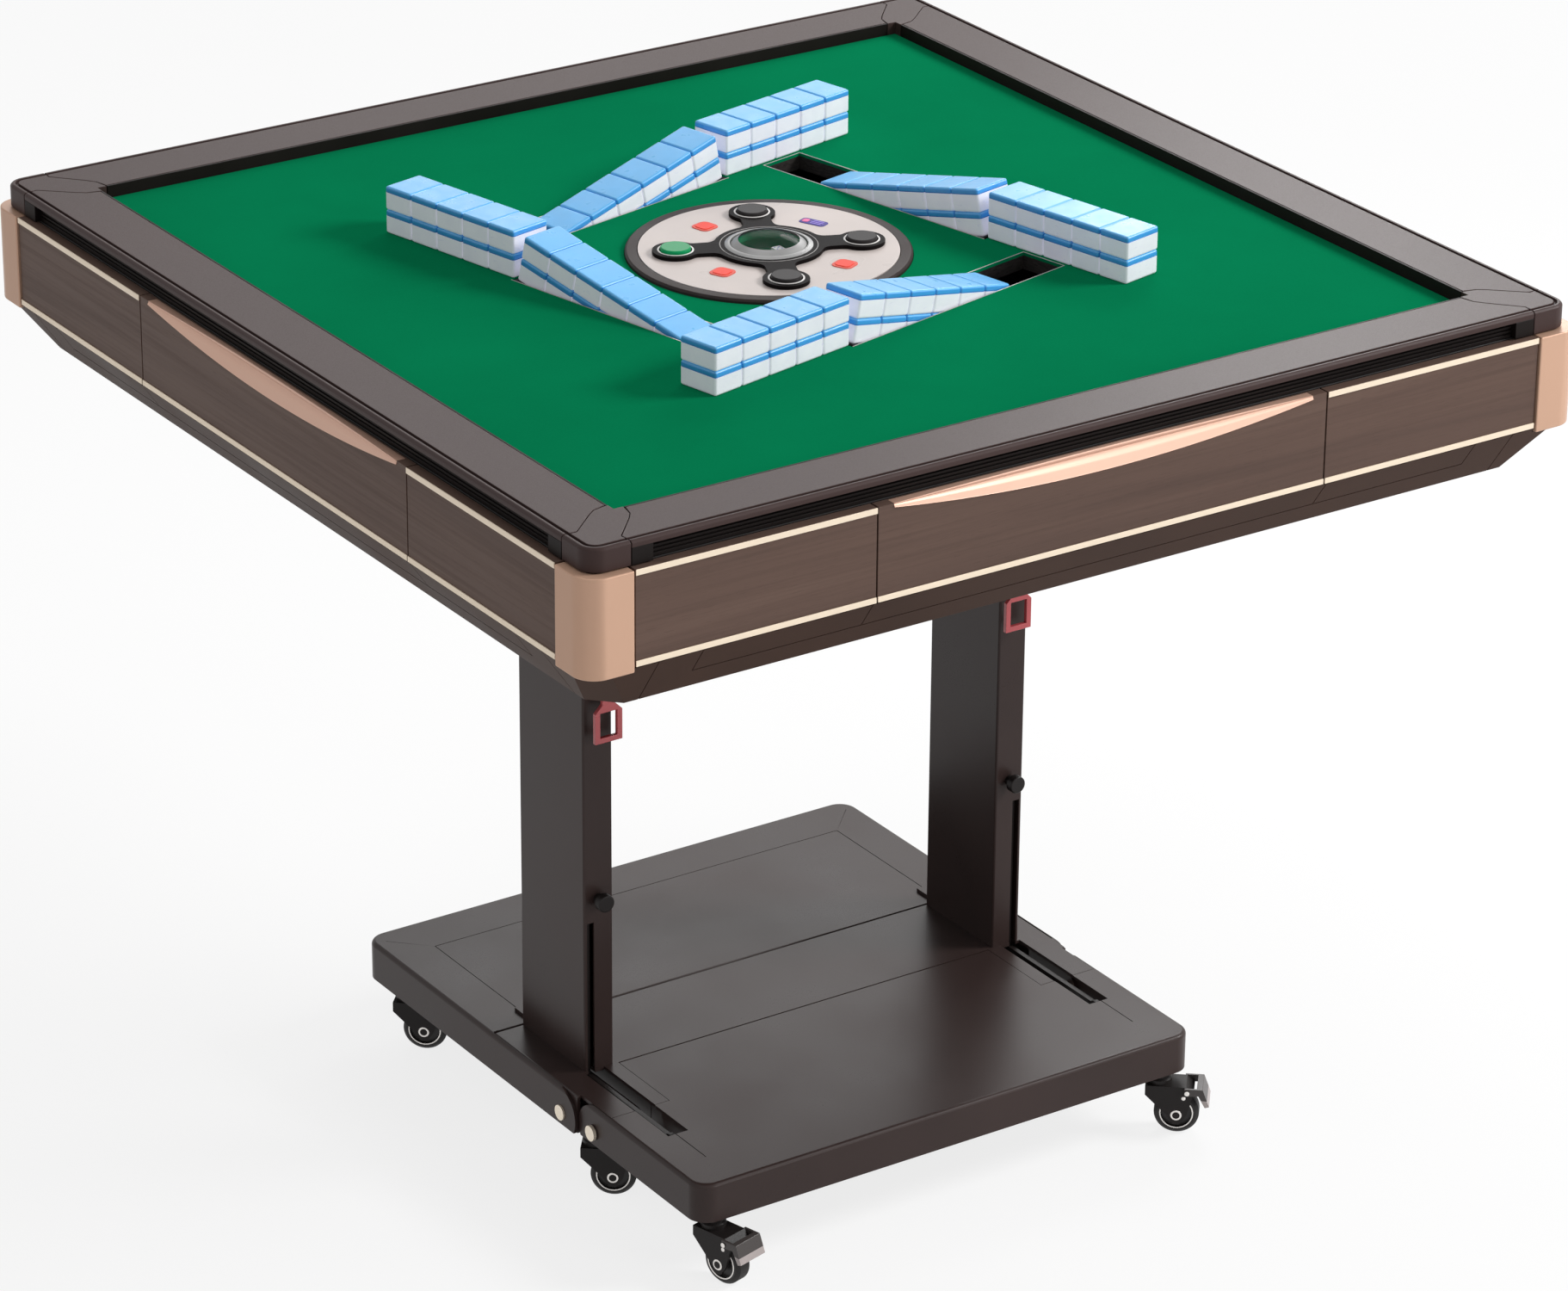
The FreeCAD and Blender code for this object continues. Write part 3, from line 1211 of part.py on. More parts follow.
def front_wing():
    """The front half of the base, which folds up about the hinge pins and over the fixed ears."""
    blank = base_blank("wing_blank", WING_HALF, WING_REAR, s.wing_front, False)
    tray = cut("wing_shell", blank, tray_hollow("wing_hollow", WING_HALF, WING_REAR, s.wing_front, False))
    seam = EAR_FRONT - s.tray_seam
    inner_half = WING_HALF - s.sheet_wall
    under = PLATE_UNDER - 1
    above = s.base_top + 1
    ear_gap = prism("wing_ear_gap", "X",
                    [(seam, above), (seam, s.base_top), (seam - s.sheet_wall, PLATE_UNDER),
                     (seam - s.sheet_wall, under), (WING_REAR + 1, under), (WING_REAR + 1, above)],
                    (EAR_INNER, inner_half))
    side_gap = box("wing_side_gap", through(inner_half, WING_HALF), (HINGE_Y, WING_REAR + 1),
                   through(s.base_bottom, s.base_top))
    slot_end = WING_PIN_Y - s.link_boss
    slot = box("wing_slot", (SLOT_INNER, SLOT_OUTER), (slot_end, seam + 1), (under, above))
    mark_start = LINK_INNER + (s.link_wall - s.seam_width) / 2
    mark = box("slot_mark", (mark_start, mark_start + s.seam_width), (slot_end - s.slot_mark, slot_end + 1),
               (s.base_top - s.press_depth, above))
    rear_gap = box("wing_rear_gap", (-inner_half - 1, inner_half + 1),
                   (WING_REAR - s.sheet_wall - 1, WING_REAR + 1),
                   (s.base_bottom - 1, PLATE_UNDER))
    pan = cut("wing_pan", tray, rear_gap, *both_sides([ear_gap, side_gap, slot, mark]))
    side_span = (inner_half, WING_HALF)
    disc = rod("wing_side_disc", (HINGE_Y, s.hinge_height), HINGE_DEPTH, side_span, "X")
    disc = common("wing_side_end", disc, blank)
    boss = rod("wing_bearing", (HINGE_Y, s.hinge_height), s.hinge_boss - s.tray_seam * 4,
               (inner_half - s.rib_wall, WING_HALF), "X")
    rib_low = WING_PIN_Z - s.link_boss * 2
    rib_points = [(WING_PIN_Y - s.link_boss * 3, PLATE_UNDER), (WING_PIN_Y - s.link_boss * 2, rib_low),
                  (WING_PIN_Y + s.link_boss * 4, rib_low), (WING_PIN_Y + s.link_boss * 5, PLATE_UNDER)]
    far_rib = prism("far_rib", "X", rib_points, (SLOT_OUTER, SLOT_OUTER + s.rib_wall))
    near_rib = prism("near_rib", "X", rib_points, (SLOT_INNER - s.rib_wall, SLOT_INNER))
    pivot = rod("wing_link_pin", (WING_PIN_Y, WING_PIN_Z), s.link_pin,
                (SLOT_INNER - s.rib_wall, SLOT_OUTER + s.rib_wall), "X")
    block = box("wing_caster_block", (FRONT_CASTER_X - s.caster_boss, WING_HALF - s.sheet_wall / 2),
                (s.wing_front + s.sheet_wall / 2, FRONT_CASTER_Y + s.caster_boss),
                (s.base_bottom, PLATE_UNDER + 1))
    corner = number(WING_HALF - s.wing_front - s.sheet_wall)
    block = eased("wing_block_rounded", block, s.base_corner - s.sheet_wall / 2,
                  lambda at, along: upright(along) and at.x - at.y > corner - 0.1)
    solid = fuse("wing_solid", pan, *both_sides([disc, boss, far_rib, near_rib, pivot, block]))
    bore = rod("wing_bore", (HINGE_Y, s.hinge_height), s.pin_radius + s.running,
               (inner_half - s.rib_wall - 1, WING_HALF + 1), "X")
    hole = rod("wing_king_hole", (FRONT_CASTER_X, FRONT_CASTER_Y), s.pin_radius + s.running,
               (s.base_bottom - 1, s.base_bottom + s.kingpin_rise + 1))
    node("front_wing", [cut("wing_bored", solid, *both_sides([bore, hole]))])


def fold_links():
    """Two L-shaped bars: each stands in its column and reaches forward to a pin on the wing."""
    span = (LINK_INNER, LINK_INNER + s.link_wall)
    half = s.link_width / 2
    top = rod("link_top_eye", (LINK_PIN_Y, LINK_PIN_Z), s.link_boss, span, "X")
    end = rod("link_end_eye", (WING_PIN_Y, WING_PIN_Z), s.link_boss, span, "X")
    bar = prism("link_bar", "X",
                [(WING_PIN_Y, WING_PIN_Z - half), (LINK_PIN_Y, WING_PIN_Z - half),
                 (LINK_PIN_Y + half, WING_PIN_Z),
                 (LINK_PIN_Y + half, LINK_PIN_Z), (LINK_PIN_Y - half, LINK_PIN_Z),
                 (LINK_PIN_Y - half, WING_PIN_Z + half),
                 (WING_PIN_Y, WING_PIN_Z + half)], span)
    top_bore = rod("link_top_bore", (LINK_PIN_Y, LINK_PIN_Z), s.link_pin + s.clearance,
                   through(*span), "X")
    end_bore = rod("link_end_bore", (WING_PIN_Y, WING_PIN_Z), s.link_pin + s.running,
                   through(*span), "X")
    link = cut("link_bored", fuse("link_solid", top, end, bar), top_bore, end_bore)
    node("fold_links", both_sides([link]))


def latches():
    """A pull loop hanging in front of each column."""
    axis_y = s.column_front - s.latch_forward
    half = s.latch_thick / 2
    span = (axis_y - half, axis_y + half)
    low = s.latch_height - s.latch_length
    window_low = low + s.latch_bar
    window_top = window_low + s.latch_window
    shoulder = window_top + s.latch_bar
    c = LATCH_CENTRE
    plan = [(c - s.latch_half, low), (c + s.latch_half, low), (c + s.latch_half, shoulder - s.latch_bar),
            (c + s.latch_stem_half, shoulder + s.latch_bar / 2), (c + s.latch_stem_half, s.latch_height),
            (c - s.latch_stem_half, s.latch_height), (c - s.latch_stem_half, shoulder + s.latch_bar / 2),
            (c - s.latch_half, shoulder - s.latch_bar)]
    plate = prism("latch_plate", "Y", plan, span)
    inner = s.latch_half - s.latch_bar
    window = box("latch_opening", (c - inner, c + inner), through(*span),
                 (window_low, window_top))
    barrel_span = (c - s.latch_stem_half, c + s.latch_stem_half)
    barrel = rod("latch_barrel", (axis_y, s.latch_height), s.latch_pin * 2, barrel_span, "X")
    bore = rod("latch_bore", (axis_y, s.latch_height), s.latch_pin + s.running,
               through(*barrel_span), "X")
    latch = cut("latch_cut", fuse("latch_solid", plate, barrel), window, bore)
    node("latch_right", [latch])
    node("latch_left", [mirrored("latch_mirror", latch)])


# ---- casters -------------------------------------------------------------------------------------------

CROWN_TOP = s.base_bottom - s.clearance
CROWN_LOW = CROWN_TOP - s.stem_height
FORK_HALF = s.wheel_width / 2 + s.fork_gap + s.fork_wall
PEDAL_X = s.caster_trail + s.swivel_radius
PEDAL_Z = CROWN_LOW - s.fork_crown / 2 - 1


def fork_stem(name):
    """The turned swivel housing over a fork's crown, with its kingpin."""
    low = CROWN_LOW - s.fork_crown / 2
    flange = s.swivel_radius + 2
    pin_top = s.base_bottom + s.kingpin_rise
    return lathe(name, [(0, low), (flange, low), (flange, CROWN_LOW + s.stem_height / 3),
                        (s.swivel_radius, CROWN_LOW + s.stem_height / 2), (s.swivel_radius, CROWN_TOP),
                        (s.pin_radius, CROWN_TOP), (s.pin_radius, pin_top), (0, pin_top)])


def caster_fork(braked):
    """A swivelling fork, drawn with its wheel trailing along +X from a kingpin at the origin."""
    trail = s.caster_trail
    reach = s.swivel_radius + s.fork_wall
    hub = s.wheel_radius
    side = [(-reach, CROWN_LOW), (reach * 2, CROWN_LOW),
            (trail + reach + s.fork_wall, CROWN_LOW - s.fork_crown),
            (trail + s.swivel_radius, hub), (trail + s.fork_wall, hub - s.swivel_radius),
            (trail - s.fork_wall, hub - s.swivel_radius), (trail - s.swivel_radius, hub),
            (-reach, CROWN_LOW - s.fork_crown - s.fork_wall)]
    name = "braked_fork" if braked else "plain_fork"
    blank = prism(f"{name}_side", "Y", side, (-FORK_HALF, FORK_HALF))
    inner = FORK_HALF - s.fork_wall
    channel = box(f"{name}_channel", (-reach - 1, trail * 4), (-inner, inner),
                  (0, CROWN_LOW - s.fork_crown))
    axle = rod(f"{name}_axle", (trail, hub), s.wheel_axle, (-FORK_HALF - 1, FORK_HALF + 1), "Y")
    pieces = [cut(f"{name}_open", blank, channel), axle, fork_stem(f"{name}_stem")]
    if braked:
        rivet = rod("pedal_rivet", (PEDAL_X, PEDAL_Z), s.latch_pin,
                    (inner + s.fork_wall / 2, FORK_HALF + s.pedal_wall + 1), "Y")
        pieces += [rivet, mirrored("pedal_rivet_near", rivet, "Y")]
    return fuse(name, *pieces)


def brake_pedal():
    """A bent pedal plate with two ears riveted outside the fork."""
    wall = s.pedal_wall
    ear_low = FORK_HALF + s.clearance
    top = PEDAL_Z + s.pedal_rise
    toe = [(PEDAL_X + wall * 5.5, top), (PEDAL_X + s.pedal_reach, PEDAL_Z - s.pedal_fall),
           (PEDAL_X + s.pedal_reach - s.pedal_toe, PEDAL_Z - s.pedal_fall - wall / 2)]
    ear_side = [(PEDAL_X - wall, top), *toe, (PEDAL_X + wall * 4, PEDAL_Z - wall),
                (PEDAL_X - wall, PEDAL_Z - s.pedal_ear)]
    ear = prism("pedal_ear", "Y", ear_side, (ear_low, ear_low + wall))
    plate_side = [(PEDAL_X + s.pedal_plate, top), *toe, (PEDAL_X + s.pedal_plate + wall, top - wall - 0.5),
                  (PEDAL_X + s.pedal_plate, top - wall)]
    plate = prism("pedal_plate", "Y", plate_side, (-ear_low - wall, ear_low + wall))
    bore = rod("pedal_bore", (PEDAL_X, PEDAL_Z), s.latch_pin + s.running,
               (-ear_low - wall - 1, ear_low + wall + 1), "Y")
    return cut("pedal_bored", fuse("pedal_solid", ear, mirrored("pedal_ear_near", ear, "Y"), plate), bore)


def caster_wheel():
    """A solid wheel with a recessed hub on both faces, turned about its own axle."""
    half = s.wheel_width / 2
    bore = s.wheel_axle + s.running
    hub_face = half + s.fork_gap / 2
    dish = half - s.hub_dish
    edge = s.wheel_radius - s.tread_round
    shoulder = half - s.tread_round
    upper = [(s.wheel_radius, shoulder), (edge, half), (s.rim_radius, half), (s.rim_radius, dish),
             (s.wheel_hub, dish), (s.wheel_hub, hub_face), (bore, hub_face)]
    wheel = lathe("wheel_turned", upper + [(radius, -height) for radius, height in reversed(upper)])
    lying = group("wheel_upright", [wheel], Placement(Vector(), Rotation(UNITS["X"], 90)))
    return place(lying, (s.caster_trail, 0, s.wheel_radius))


def casters():
    """Six swivel casters: two braked ones under the wing, two under the middle, two at the rear."""
    plain = caster_fork(False)
    braked = caster_fork(True)
    pedal = brake_pedal()
    wheel = caster_wheel()
    rows = {"front": (FRONT_CASTER_X, FRONT_CASTER_Y, -75, -40),
            "middle": (SIDE_CASTER_X, MIDDLE_CASTER_Y, -38, -60),
            "rear": (SIDE_CASTER_X, REAR_CASTER_Y, -42, -50)}
    for row, (x, y, left_heading, right_heading) in rows.items():
        pair = ((f"{row}_left", -x, left_heading), (f"{row}_right", x, right_heading))
        for name, across, heading in pair:
            turn = Placement(Vector(), Rotation(UNITS["Z"], heading))
            braked_row = row == "front"
            made = [node(f"caster_fork_{name}", [braked if braked_row else plain], turn),
                    node(f"caster_wheel_{name}", [wheel], turn)]
            if braked_row:
                made.append(node(f"brake_pedal_{name}", [pedal], turn))
            for part in made:
                place(part, (across, y, 0))


# ---- build, check and export ---------------------------------------------------------------------------

BUILDERS = [frame_rails, frame_riser, table_board, table_mat, center_collar, corner_posts, fixed_panels,
            drawers, bottom_shell, chassis_frame, drive_unit, shuffle_drum, console_disc, console_cover,
            player_buttons, dice_dome, dice_tray, tiles_on_mat, ramps, rear_tray, mid_box, columns,
            column_fittings, pivot_pins, front_wing, fold_links, latches, casters]


def check():
    """Stops if any object failed to compute or any sub-part has no sound shape."""
    for part in doc.Objects:
        if "Invalid" in part.State or "Error" in part.State:
            raise RuntimeError(f"{part.Name} did not compute: {part.State}")
    for part in nodes:
        if part.Shape.isNull() or not part.Shape.isValid() or not part.Shape.Solids:
            raise RuntimeError(f"{part.Label} has no sound solid")


def export():
    """Writes one STEP file a sub-part."""
    os.makedirs("parts", exist_ok=True)
    for part in nodes:
        part.Shape.exportStep(f"parts/{part.Label}.step")


for build in BUILDERS:
    build()
doc.recompute()
check()
export()
print(len(nodes), "sub-parts,", sum(len(part.Shape.Solids) for part in nodes), "solids")
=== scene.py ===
import json
import math

import bmesh
import bpy
from mathutils import Matrix, Vector

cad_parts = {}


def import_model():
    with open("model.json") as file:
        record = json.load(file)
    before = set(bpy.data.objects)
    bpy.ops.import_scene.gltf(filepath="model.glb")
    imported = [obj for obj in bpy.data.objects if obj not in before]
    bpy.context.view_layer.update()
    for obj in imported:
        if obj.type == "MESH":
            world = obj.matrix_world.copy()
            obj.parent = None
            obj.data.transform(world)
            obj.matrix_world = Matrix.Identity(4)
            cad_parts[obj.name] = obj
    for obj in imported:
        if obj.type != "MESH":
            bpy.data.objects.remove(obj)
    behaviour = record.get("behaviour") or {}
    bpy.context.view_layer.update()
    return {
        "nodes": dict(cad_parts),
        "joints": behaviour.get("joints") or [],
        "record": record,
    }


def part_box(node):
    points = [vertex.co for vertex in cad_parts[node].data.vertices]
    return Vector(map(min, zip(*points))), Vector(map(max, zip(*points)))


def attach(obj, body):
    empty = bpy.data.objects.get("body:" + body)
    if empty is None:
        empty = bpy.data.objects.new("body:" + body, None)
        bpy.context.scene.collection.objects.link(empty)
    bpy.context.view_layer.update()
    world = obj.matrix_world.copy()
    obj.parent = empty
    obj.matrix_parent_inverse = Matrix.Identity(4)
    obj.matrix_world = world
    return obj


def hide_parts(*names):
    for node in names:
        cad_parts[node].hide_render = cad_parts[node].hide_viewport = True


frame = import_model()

# Looks of a folding automatic mahjong table, in metres, in the frame of its CAD model: +Z is up, the
# front of the stand is at -Y and the hinge pins run along X.

MM = 0.001
record = frame["record"]
BODY_OF = {node: body for body, nodes in record["behaviour"]["bodies"].items() for node in nodes}
SLOT_OF = {row["node"]: row["material_slot"] for row in record["subparts"]}
SIDES = ("front", "right", "rear", "left")
CASTERS = ("front_left", "front_right", "middle_left", "middle_right", "rear_left", "rear_right")


# ---- materials -----------------------------------------------------------------------------------

class Finish:
    """One procedural material: a Principled shader with texture nodes that feed it."""

    def __init__(self, name, colour, roughness, **sockets):
        self.material = bpy.data.materials.new(name)
        self.material.use_nodes = True
        self.tree = self.material.node_tree
        self.shader = self.tree.nodes["Principled BSDF"]
        self.feed(self.shader.inputs["Base Color"], (*colour, 1))
        self.feed(self.shader.inputs["Roughness"], roughness)
        for socket, value in sockets.items():
            self.feed(self.shader.inputs[socket.replace("_", " ")], value)

    def feed(self, socket, value):
        """Links a node's output to a socket, or sets the socket."""
        if isinstance(value, bpy.types.NodeSocket):
            self.tree.links.new(value, socket)
        else:
            socket.default_value = value

    def add(self, kind, inputs, **settings):
        """Adds a shader node, with its inputs given by name or number."""
        item = self.tree.nodes.new(f"ShaderNode{kind}")
        for name, value in settings.items():
            setattr(item, name, value)
        for key, value in inputs.items():
            self.feed(item.inputs[key], value)
        return item.outputs

    def place(self, stretch=(1, 1, 1)):
        """The point on the object, in metres, stretched along each axis."""
        point = self.add("TexCoord", {})["Object"]
        return self.add("Mapping", {"Vector": point, "Scale": stretch})["Vector"]

    def along_sides(self, along, up):
        """A point whose first value runs along any upright side, and whose last runs up."""
        parts = self.add("SeparateXYZ", {0: self.place()})
        length = self.add("Math", {0: parts["X"], 1: parts["Y"]}, operation="ADD")[0]
        scaled = self.add("Math", {0: length, 1: along}, operation="MULTIPLY")[0]
        height = self.add("Math", {0: parts["Z"], 1: up}, operation="MULTIPLY")[0]
        side = self.add("Math", {0: parts["X"], 1: parts["Y"]}, operation="GREATER_THAN")[0]
        return self.add("CombineXYZ", {"X": scaled, "Y": side, "Z": height})[0]

    def noise(self, where, scale, detail, roughness=0.5, distortion=0.0):
        inputs = {"Vector": where, "Scale": scale, "Detail": detail, "Roughness": roughness,
                  "Distortion": distortion}
        return self.add("TexNoise", inputs)["Fac"]

    def span(self, value, low, high, start=0.0, end=1.0):
        """The value, taken from start to end, turned into low to high."""
        inputs = {"Value": value, "From Min": start, "From Max": end, "To Min": low, "To Max": high}
        return self.add("MapRange", inputs)["Result"]

    def shades(self, value, *stops):
        """A colour between several stops, each given as (place, colour)."""
        item = self.tree.nodes.new("ShaderNodeValToRGB")
        self.feed(item.inputs["Fac"], value)
        elements = item.color_ramp.elements
        while len(elements) < len(stops):
            elements.new(0.5)
        for element, (at, colour) in zip(elements, stops):
            element.position = at
            element.color = (*colour, 1)
        return item.outputs["Color"]

    def tint(self, amount, first, second):
        """Two colours mixed by an amount; 6, 7 and 2 are the Mix node's sockets for colours."""
        return self.add("Mix", {0: amount, 6: first, 7: second}, data_type="RGBA")[2]

    def colour(self, value):
        self.feed(self.shader.inputs["Base Color"], value)

    def rough(self, value):
        self.feed(self.shader.inputs["Roughness"], value)

    def glow(self, value):
        self.feed(self.shader.inputs["Emission Color"], value)

    def bump(self, height, strength, distance):
        """Fine relief, added to any that is there already."""
        inputs = {"Height": height, "Strength": strength, "Distance": distance}
        before = self.shader.inputs["Normal"].links
        if before:
            inputs["Normal"] = before[0].from_socket
        self.feed(self.shader.inputs["Normal"], self.add("Bump", inputs)["Normal"])


def shade(colour, factor):
    """A colour made darker or lighter."""
    return tuple(value * factor for value in colour)


def powder_coat(name, colour, roughness, gloss, grain=1400.0, relief=0.12):
    """Baked paint on steel: a fine orange peel, with slightly cloudy gloss and colour."""
    made = Finish(name, colour, roughness, Specular_IOR_Level=gloss)
    cloud = made.noise(made.place(), 9.0, 3.0)
    fine = made.noise(made.place(), grain, 2.0)
    made.colour(made.shades(cloud, (0.3, shade(colour, 0.88)), (0.7, shade(colour, 1.10))))
    mottled = made.add("Math", {0: cloud, 1: fine}, operation="ADD")[0]
    made.rough(made.span(mottled, roughness - 0.07, roughness + 0.09, 0.6, 1.4))
    made.bump(fine, relief, 0.00008)
    return made.material


def moulded(name, colour, roughness, grain=2600.0, relief=0.2, gloss=0.35):
    """Moulded plastic with a fine spark-eroded grain."""
    made = Finish(name, colour, roughness, Specular_IOR_Level=gloss)
    cells = made.add("TexVoronoi", {"Vector": made.place(), "Scale": grain})["Distance"]
    cloud = made.noise(made.place(), 14.0, 2.0)
    made.colour(made.shades(cloud, (0.3, shade(colour, 0.92)), (0.7, shade(colour, 1.07))))
    made.rough(made.span(cloud, roughness - 0.05, roughness + 0.06, 0.3, 0.7))
    made.bump(cells, relief, 0.00006)
    return made.material


def anodised(name, colour, roughness, stretch, metallic, **sockets):
    """Anodised aluminium: hairlines along one direction under a thin tinted skin."""
    made = Finish(name, colour, roughness, Metallic=metallic, **sockets)
    lines = made.noise(made.place(stretch), 1.0, 3.0, 0.65)
    cloud = made.noise(made.place(), 11.0, 2.0)
    # Broad random streaks in the tone; on the posts they also stand in for painted reflection bands, dark
    # and light.
    bands = made.noise(made.place([part / 30 for part in stretch]), 1.0, 1.0)
    tone = made.add("Math", {0: lines, 1: bands}, operation="ADD")[0]
    made.colour(made.shades(tone, (0.35, shade(colour, 0.78)), (0.65, shade(colour, 1.14))))
    blend = made.add("Math", {0: lines, 1: cloud}, operation="ADD")[0]
    made.rough(made.span(blend, roughness - 0.06, roughness + 0.08, 0.7, 1.3))
    made.bump(lines, 0.06, 0.00004)
    return made.material


def walnut(name):
    """Dark walnut veneer with its grain along every side, pores and a satin lacquer."""
    made = Finish(name, (0.118, 0.073, 0.057), 0.42, Specular_IOR_Level=0.12)
    bands = made.noise(made.along_sides(1.1, 20.0), 1.0, 4.0, 0.55, 0.7)
    streaks = made.noise(made.along_sides(4.0, 240.0), 1.0, 4.0, 0.6, 0.3)
    pores = made.noise(made.along_sides(60.0, 1700.0), 1.0, 2.0, 0.5)
    ground = made.shades(bands, (0.25, (0.092, 0.058, 0.047)), (0.5, (0.120, 0.075, 0.059)),
                         (0.78, (0.150, 0.098, 0.077)))
    lined = made.tint(made.span(streaks, 0.0, 0.55, 0.46, 0.78), ground, (0.074, 0.047, 0.038, 1))
    made.colour(made.tint(made.span(pores, 0.0, 0.45, 0.60, 0.74), lined, (0.050, 0.032, 0.026, 1)))
    made.rough(made.span(streaks, 0.36, 0.5, 0.3, 0.7))
    made.bump(pores, 0.15, 0.00006)
    made.bump(streaks, 0.06, 0.0001)
    return made.material


def soft_rail(name, colour):
    """The rail's soft-touch skin, a fine leather-like grain."""
    made = Finish(name, colour, 0.4, Specular_IOR_Level=0.14)
    cloud = made.noise(made.place(), 5.0, 4.0)
    cells = made.add("TexVoronoi", {"Vector": made.place(), "Scale": 1300.0})["Distance"]
    fine = made.noise(made.place(), 3200.0, 2.0)
    made.colour(made.shades(cloud, (0.3, shade(colour, 0.94)), (0.7, shade(colour, 1.06))))
    made.rough(made.span(cells, 0.34, 0.46, 0.0, 0.8))
    made.bump(cells, 0.22, 0.0001)
    made.bump(fine, 0.15, 0.00005)
    return made.material


def baize(name, colour):
    """Short-nap cloth: a faint mottle, single fibres and a soft sheen of its own colour."""
    made = Finish(name, colour, 0.95, Sheen_Weight=0.05, Sheen_Roughness=0.4,
                  Sheen_Tint=(0.10, 0.75, 0.38, 1), Specular_IOR_Level=0.0)
    cloud = made.noise(made.place(), 6.0, 5.0, 0.6)
    nap = made.noise(made.place((1.0, 1.6, 1.0)), 420.0, 4.0, 0.7)
    fibre = made.noise(made.place(), 2600.0, 3.0, 0.6)
    ground = made.shades(cloud, (0.3, shade(colour, 0.94)), (0.7, shade(colour, 1.06)))
    worn = made.tint(made.span(nap, 0.0, 0.25, 0.40, 0.80), ground, (*shade(colour, 1.35), 1))
    made.colour(made.tint(made.span(fibre, 0.0, 0.25, 0.5, 0.8), worn, (*shade(colour, 0.55), 1)))
    made.bump(fibre, 0.3, 0.00012)
    made.bump(nap, 0.15, 0.00015)
    return made.material


def resin(name, colour, glow=0.12, painted_glow=0.0):
    """Cast tile resin: slightly milky, smooth, with faint handling marks in the gloss, and an optional
    faint glow that is painted light.
    """
    roughness = 0.3
    made = Finish(name, colour, roughness, Subsurface_Weight=glow, Subsurface_Scale=0.002,
                  Subsurface_Radius=(1.0, 1.0, 1.0), Emission_Strength=painted_glow)
    cloud = made.noise(made.place(), 55.0, 3.0)
    smear = made.noise(made.place((1, 1, 3)), 90.0, 2.0)
    made.colour(made.shades(cloud, (0.3, shade(colour, 0.96)), (0.7, shade(colour, 1.03))))
    made.rough(made.span(smear, roughness - 0.03, roughness + 0.06, 0.3, 0.7))
    made.bump(smear, 0.006, 0.0001)
    # A faint bluish glow: painted light that brightens the white tiles where the lamps leave them in
    # shade.
    if painted_glow:
        made.glow(made.shades(cloud, (0.3, (0.84, 0.80, 1.0)), (0.7, (0.88, 0.84, 1.0))))
    return made.material


def rubber(name):
    """Caster tread: dull black with fine dust."""
    made = Finish(name, (0.012, 0.011, 0.011), 0.62, Specular_IOR_Level=0.3)
    dust = made.noise(made.place(), 160.0, 4.0, 0.6)
    made.colour(made.shades(dust, (0.4, (0.010, 0.0092, 0.009)), (0.75, (0.026, 0.023, 0.022))))
    made.rough(made.span(dust, 0.5, 0.72, 0.3, 0.7))
    made.bump(dust, 0.1, 0.0001)
    return made.material


def clear_plastic(name):
    """Thin clear plastic: nearly nothing but its highlights."""
    made = Finish(name, (0.03, 0.035, 0.035), 0.04, Specular_IOR_Level=0.9, Alpha=0.08)
    haze = made.noise(made.place(), 90.0, 2.0)
    made.rough(made.span(haze, 0.01, 0.05, 0.35, 0.7))
    return made.material


def lit(name, colour, strength, roughness, gloss):
    """A key or lens lit from inside, a little uneven over its face."""
    made = Finish(name, colour, roughness, Emission_Strength=strength, Specular_IOR_Level=gloss)
    cloud = made.noise(made.place(), 240.0, 2.0)
    made.glow(made.shades(cloud, (0.3, shade(colour, 0.8)), (0.7, colour)))
    return made.material


def shade_dark_board(name):
    """Chipboard, nearly black with a faint chip pattern: painted shade for the walls seen down the slots.
    """
    made = Finish(name, (0.018, 0.015, 0.014), 0.7, Specular_IOR_Level=0.2)
    chips = made.add("TexVoronoi", {"Vector": made.place((1, 1, 3)), "Scale": 260.0})["Color"]
    grey = made.add("RGBToBW", {0: chips})[0]
    made.colour(made.shades(grey, (0.2, (0.013, 0.011, 0.010)), (0.8, (0.028, 0.023, 0.021))))
    made.bump(grey, 0.15, 0.0002)
    return made.material


def zinc(name):
    """Plated steel with a pale spangle."""
    made = Finish(name, (0.52, 0.52, 0.52), 0.38, Metallic=1.0)
    spangle = made.add("TexVoronoi", {"Vector": made.place(), "Scale": 120.0})["Color"]
    grey = made.add("RGBToBW", {0: spangle})[0]
    made.colour(made.shades(grey, (0.2, (0.42, 0.42, 0.43)), (0.8, (0.60, 0.60, 0.59))))
    made.rough(made.span(grey, 0.3, 0.46))
    return made.material


# How metal's hairlines are stretched: upright, level, or not at all.
UP_LINES = (2400, 2400, 30)
LEVEL_LINES = (30, 30, 2400)
NO_LINES = (260, 260, 260)

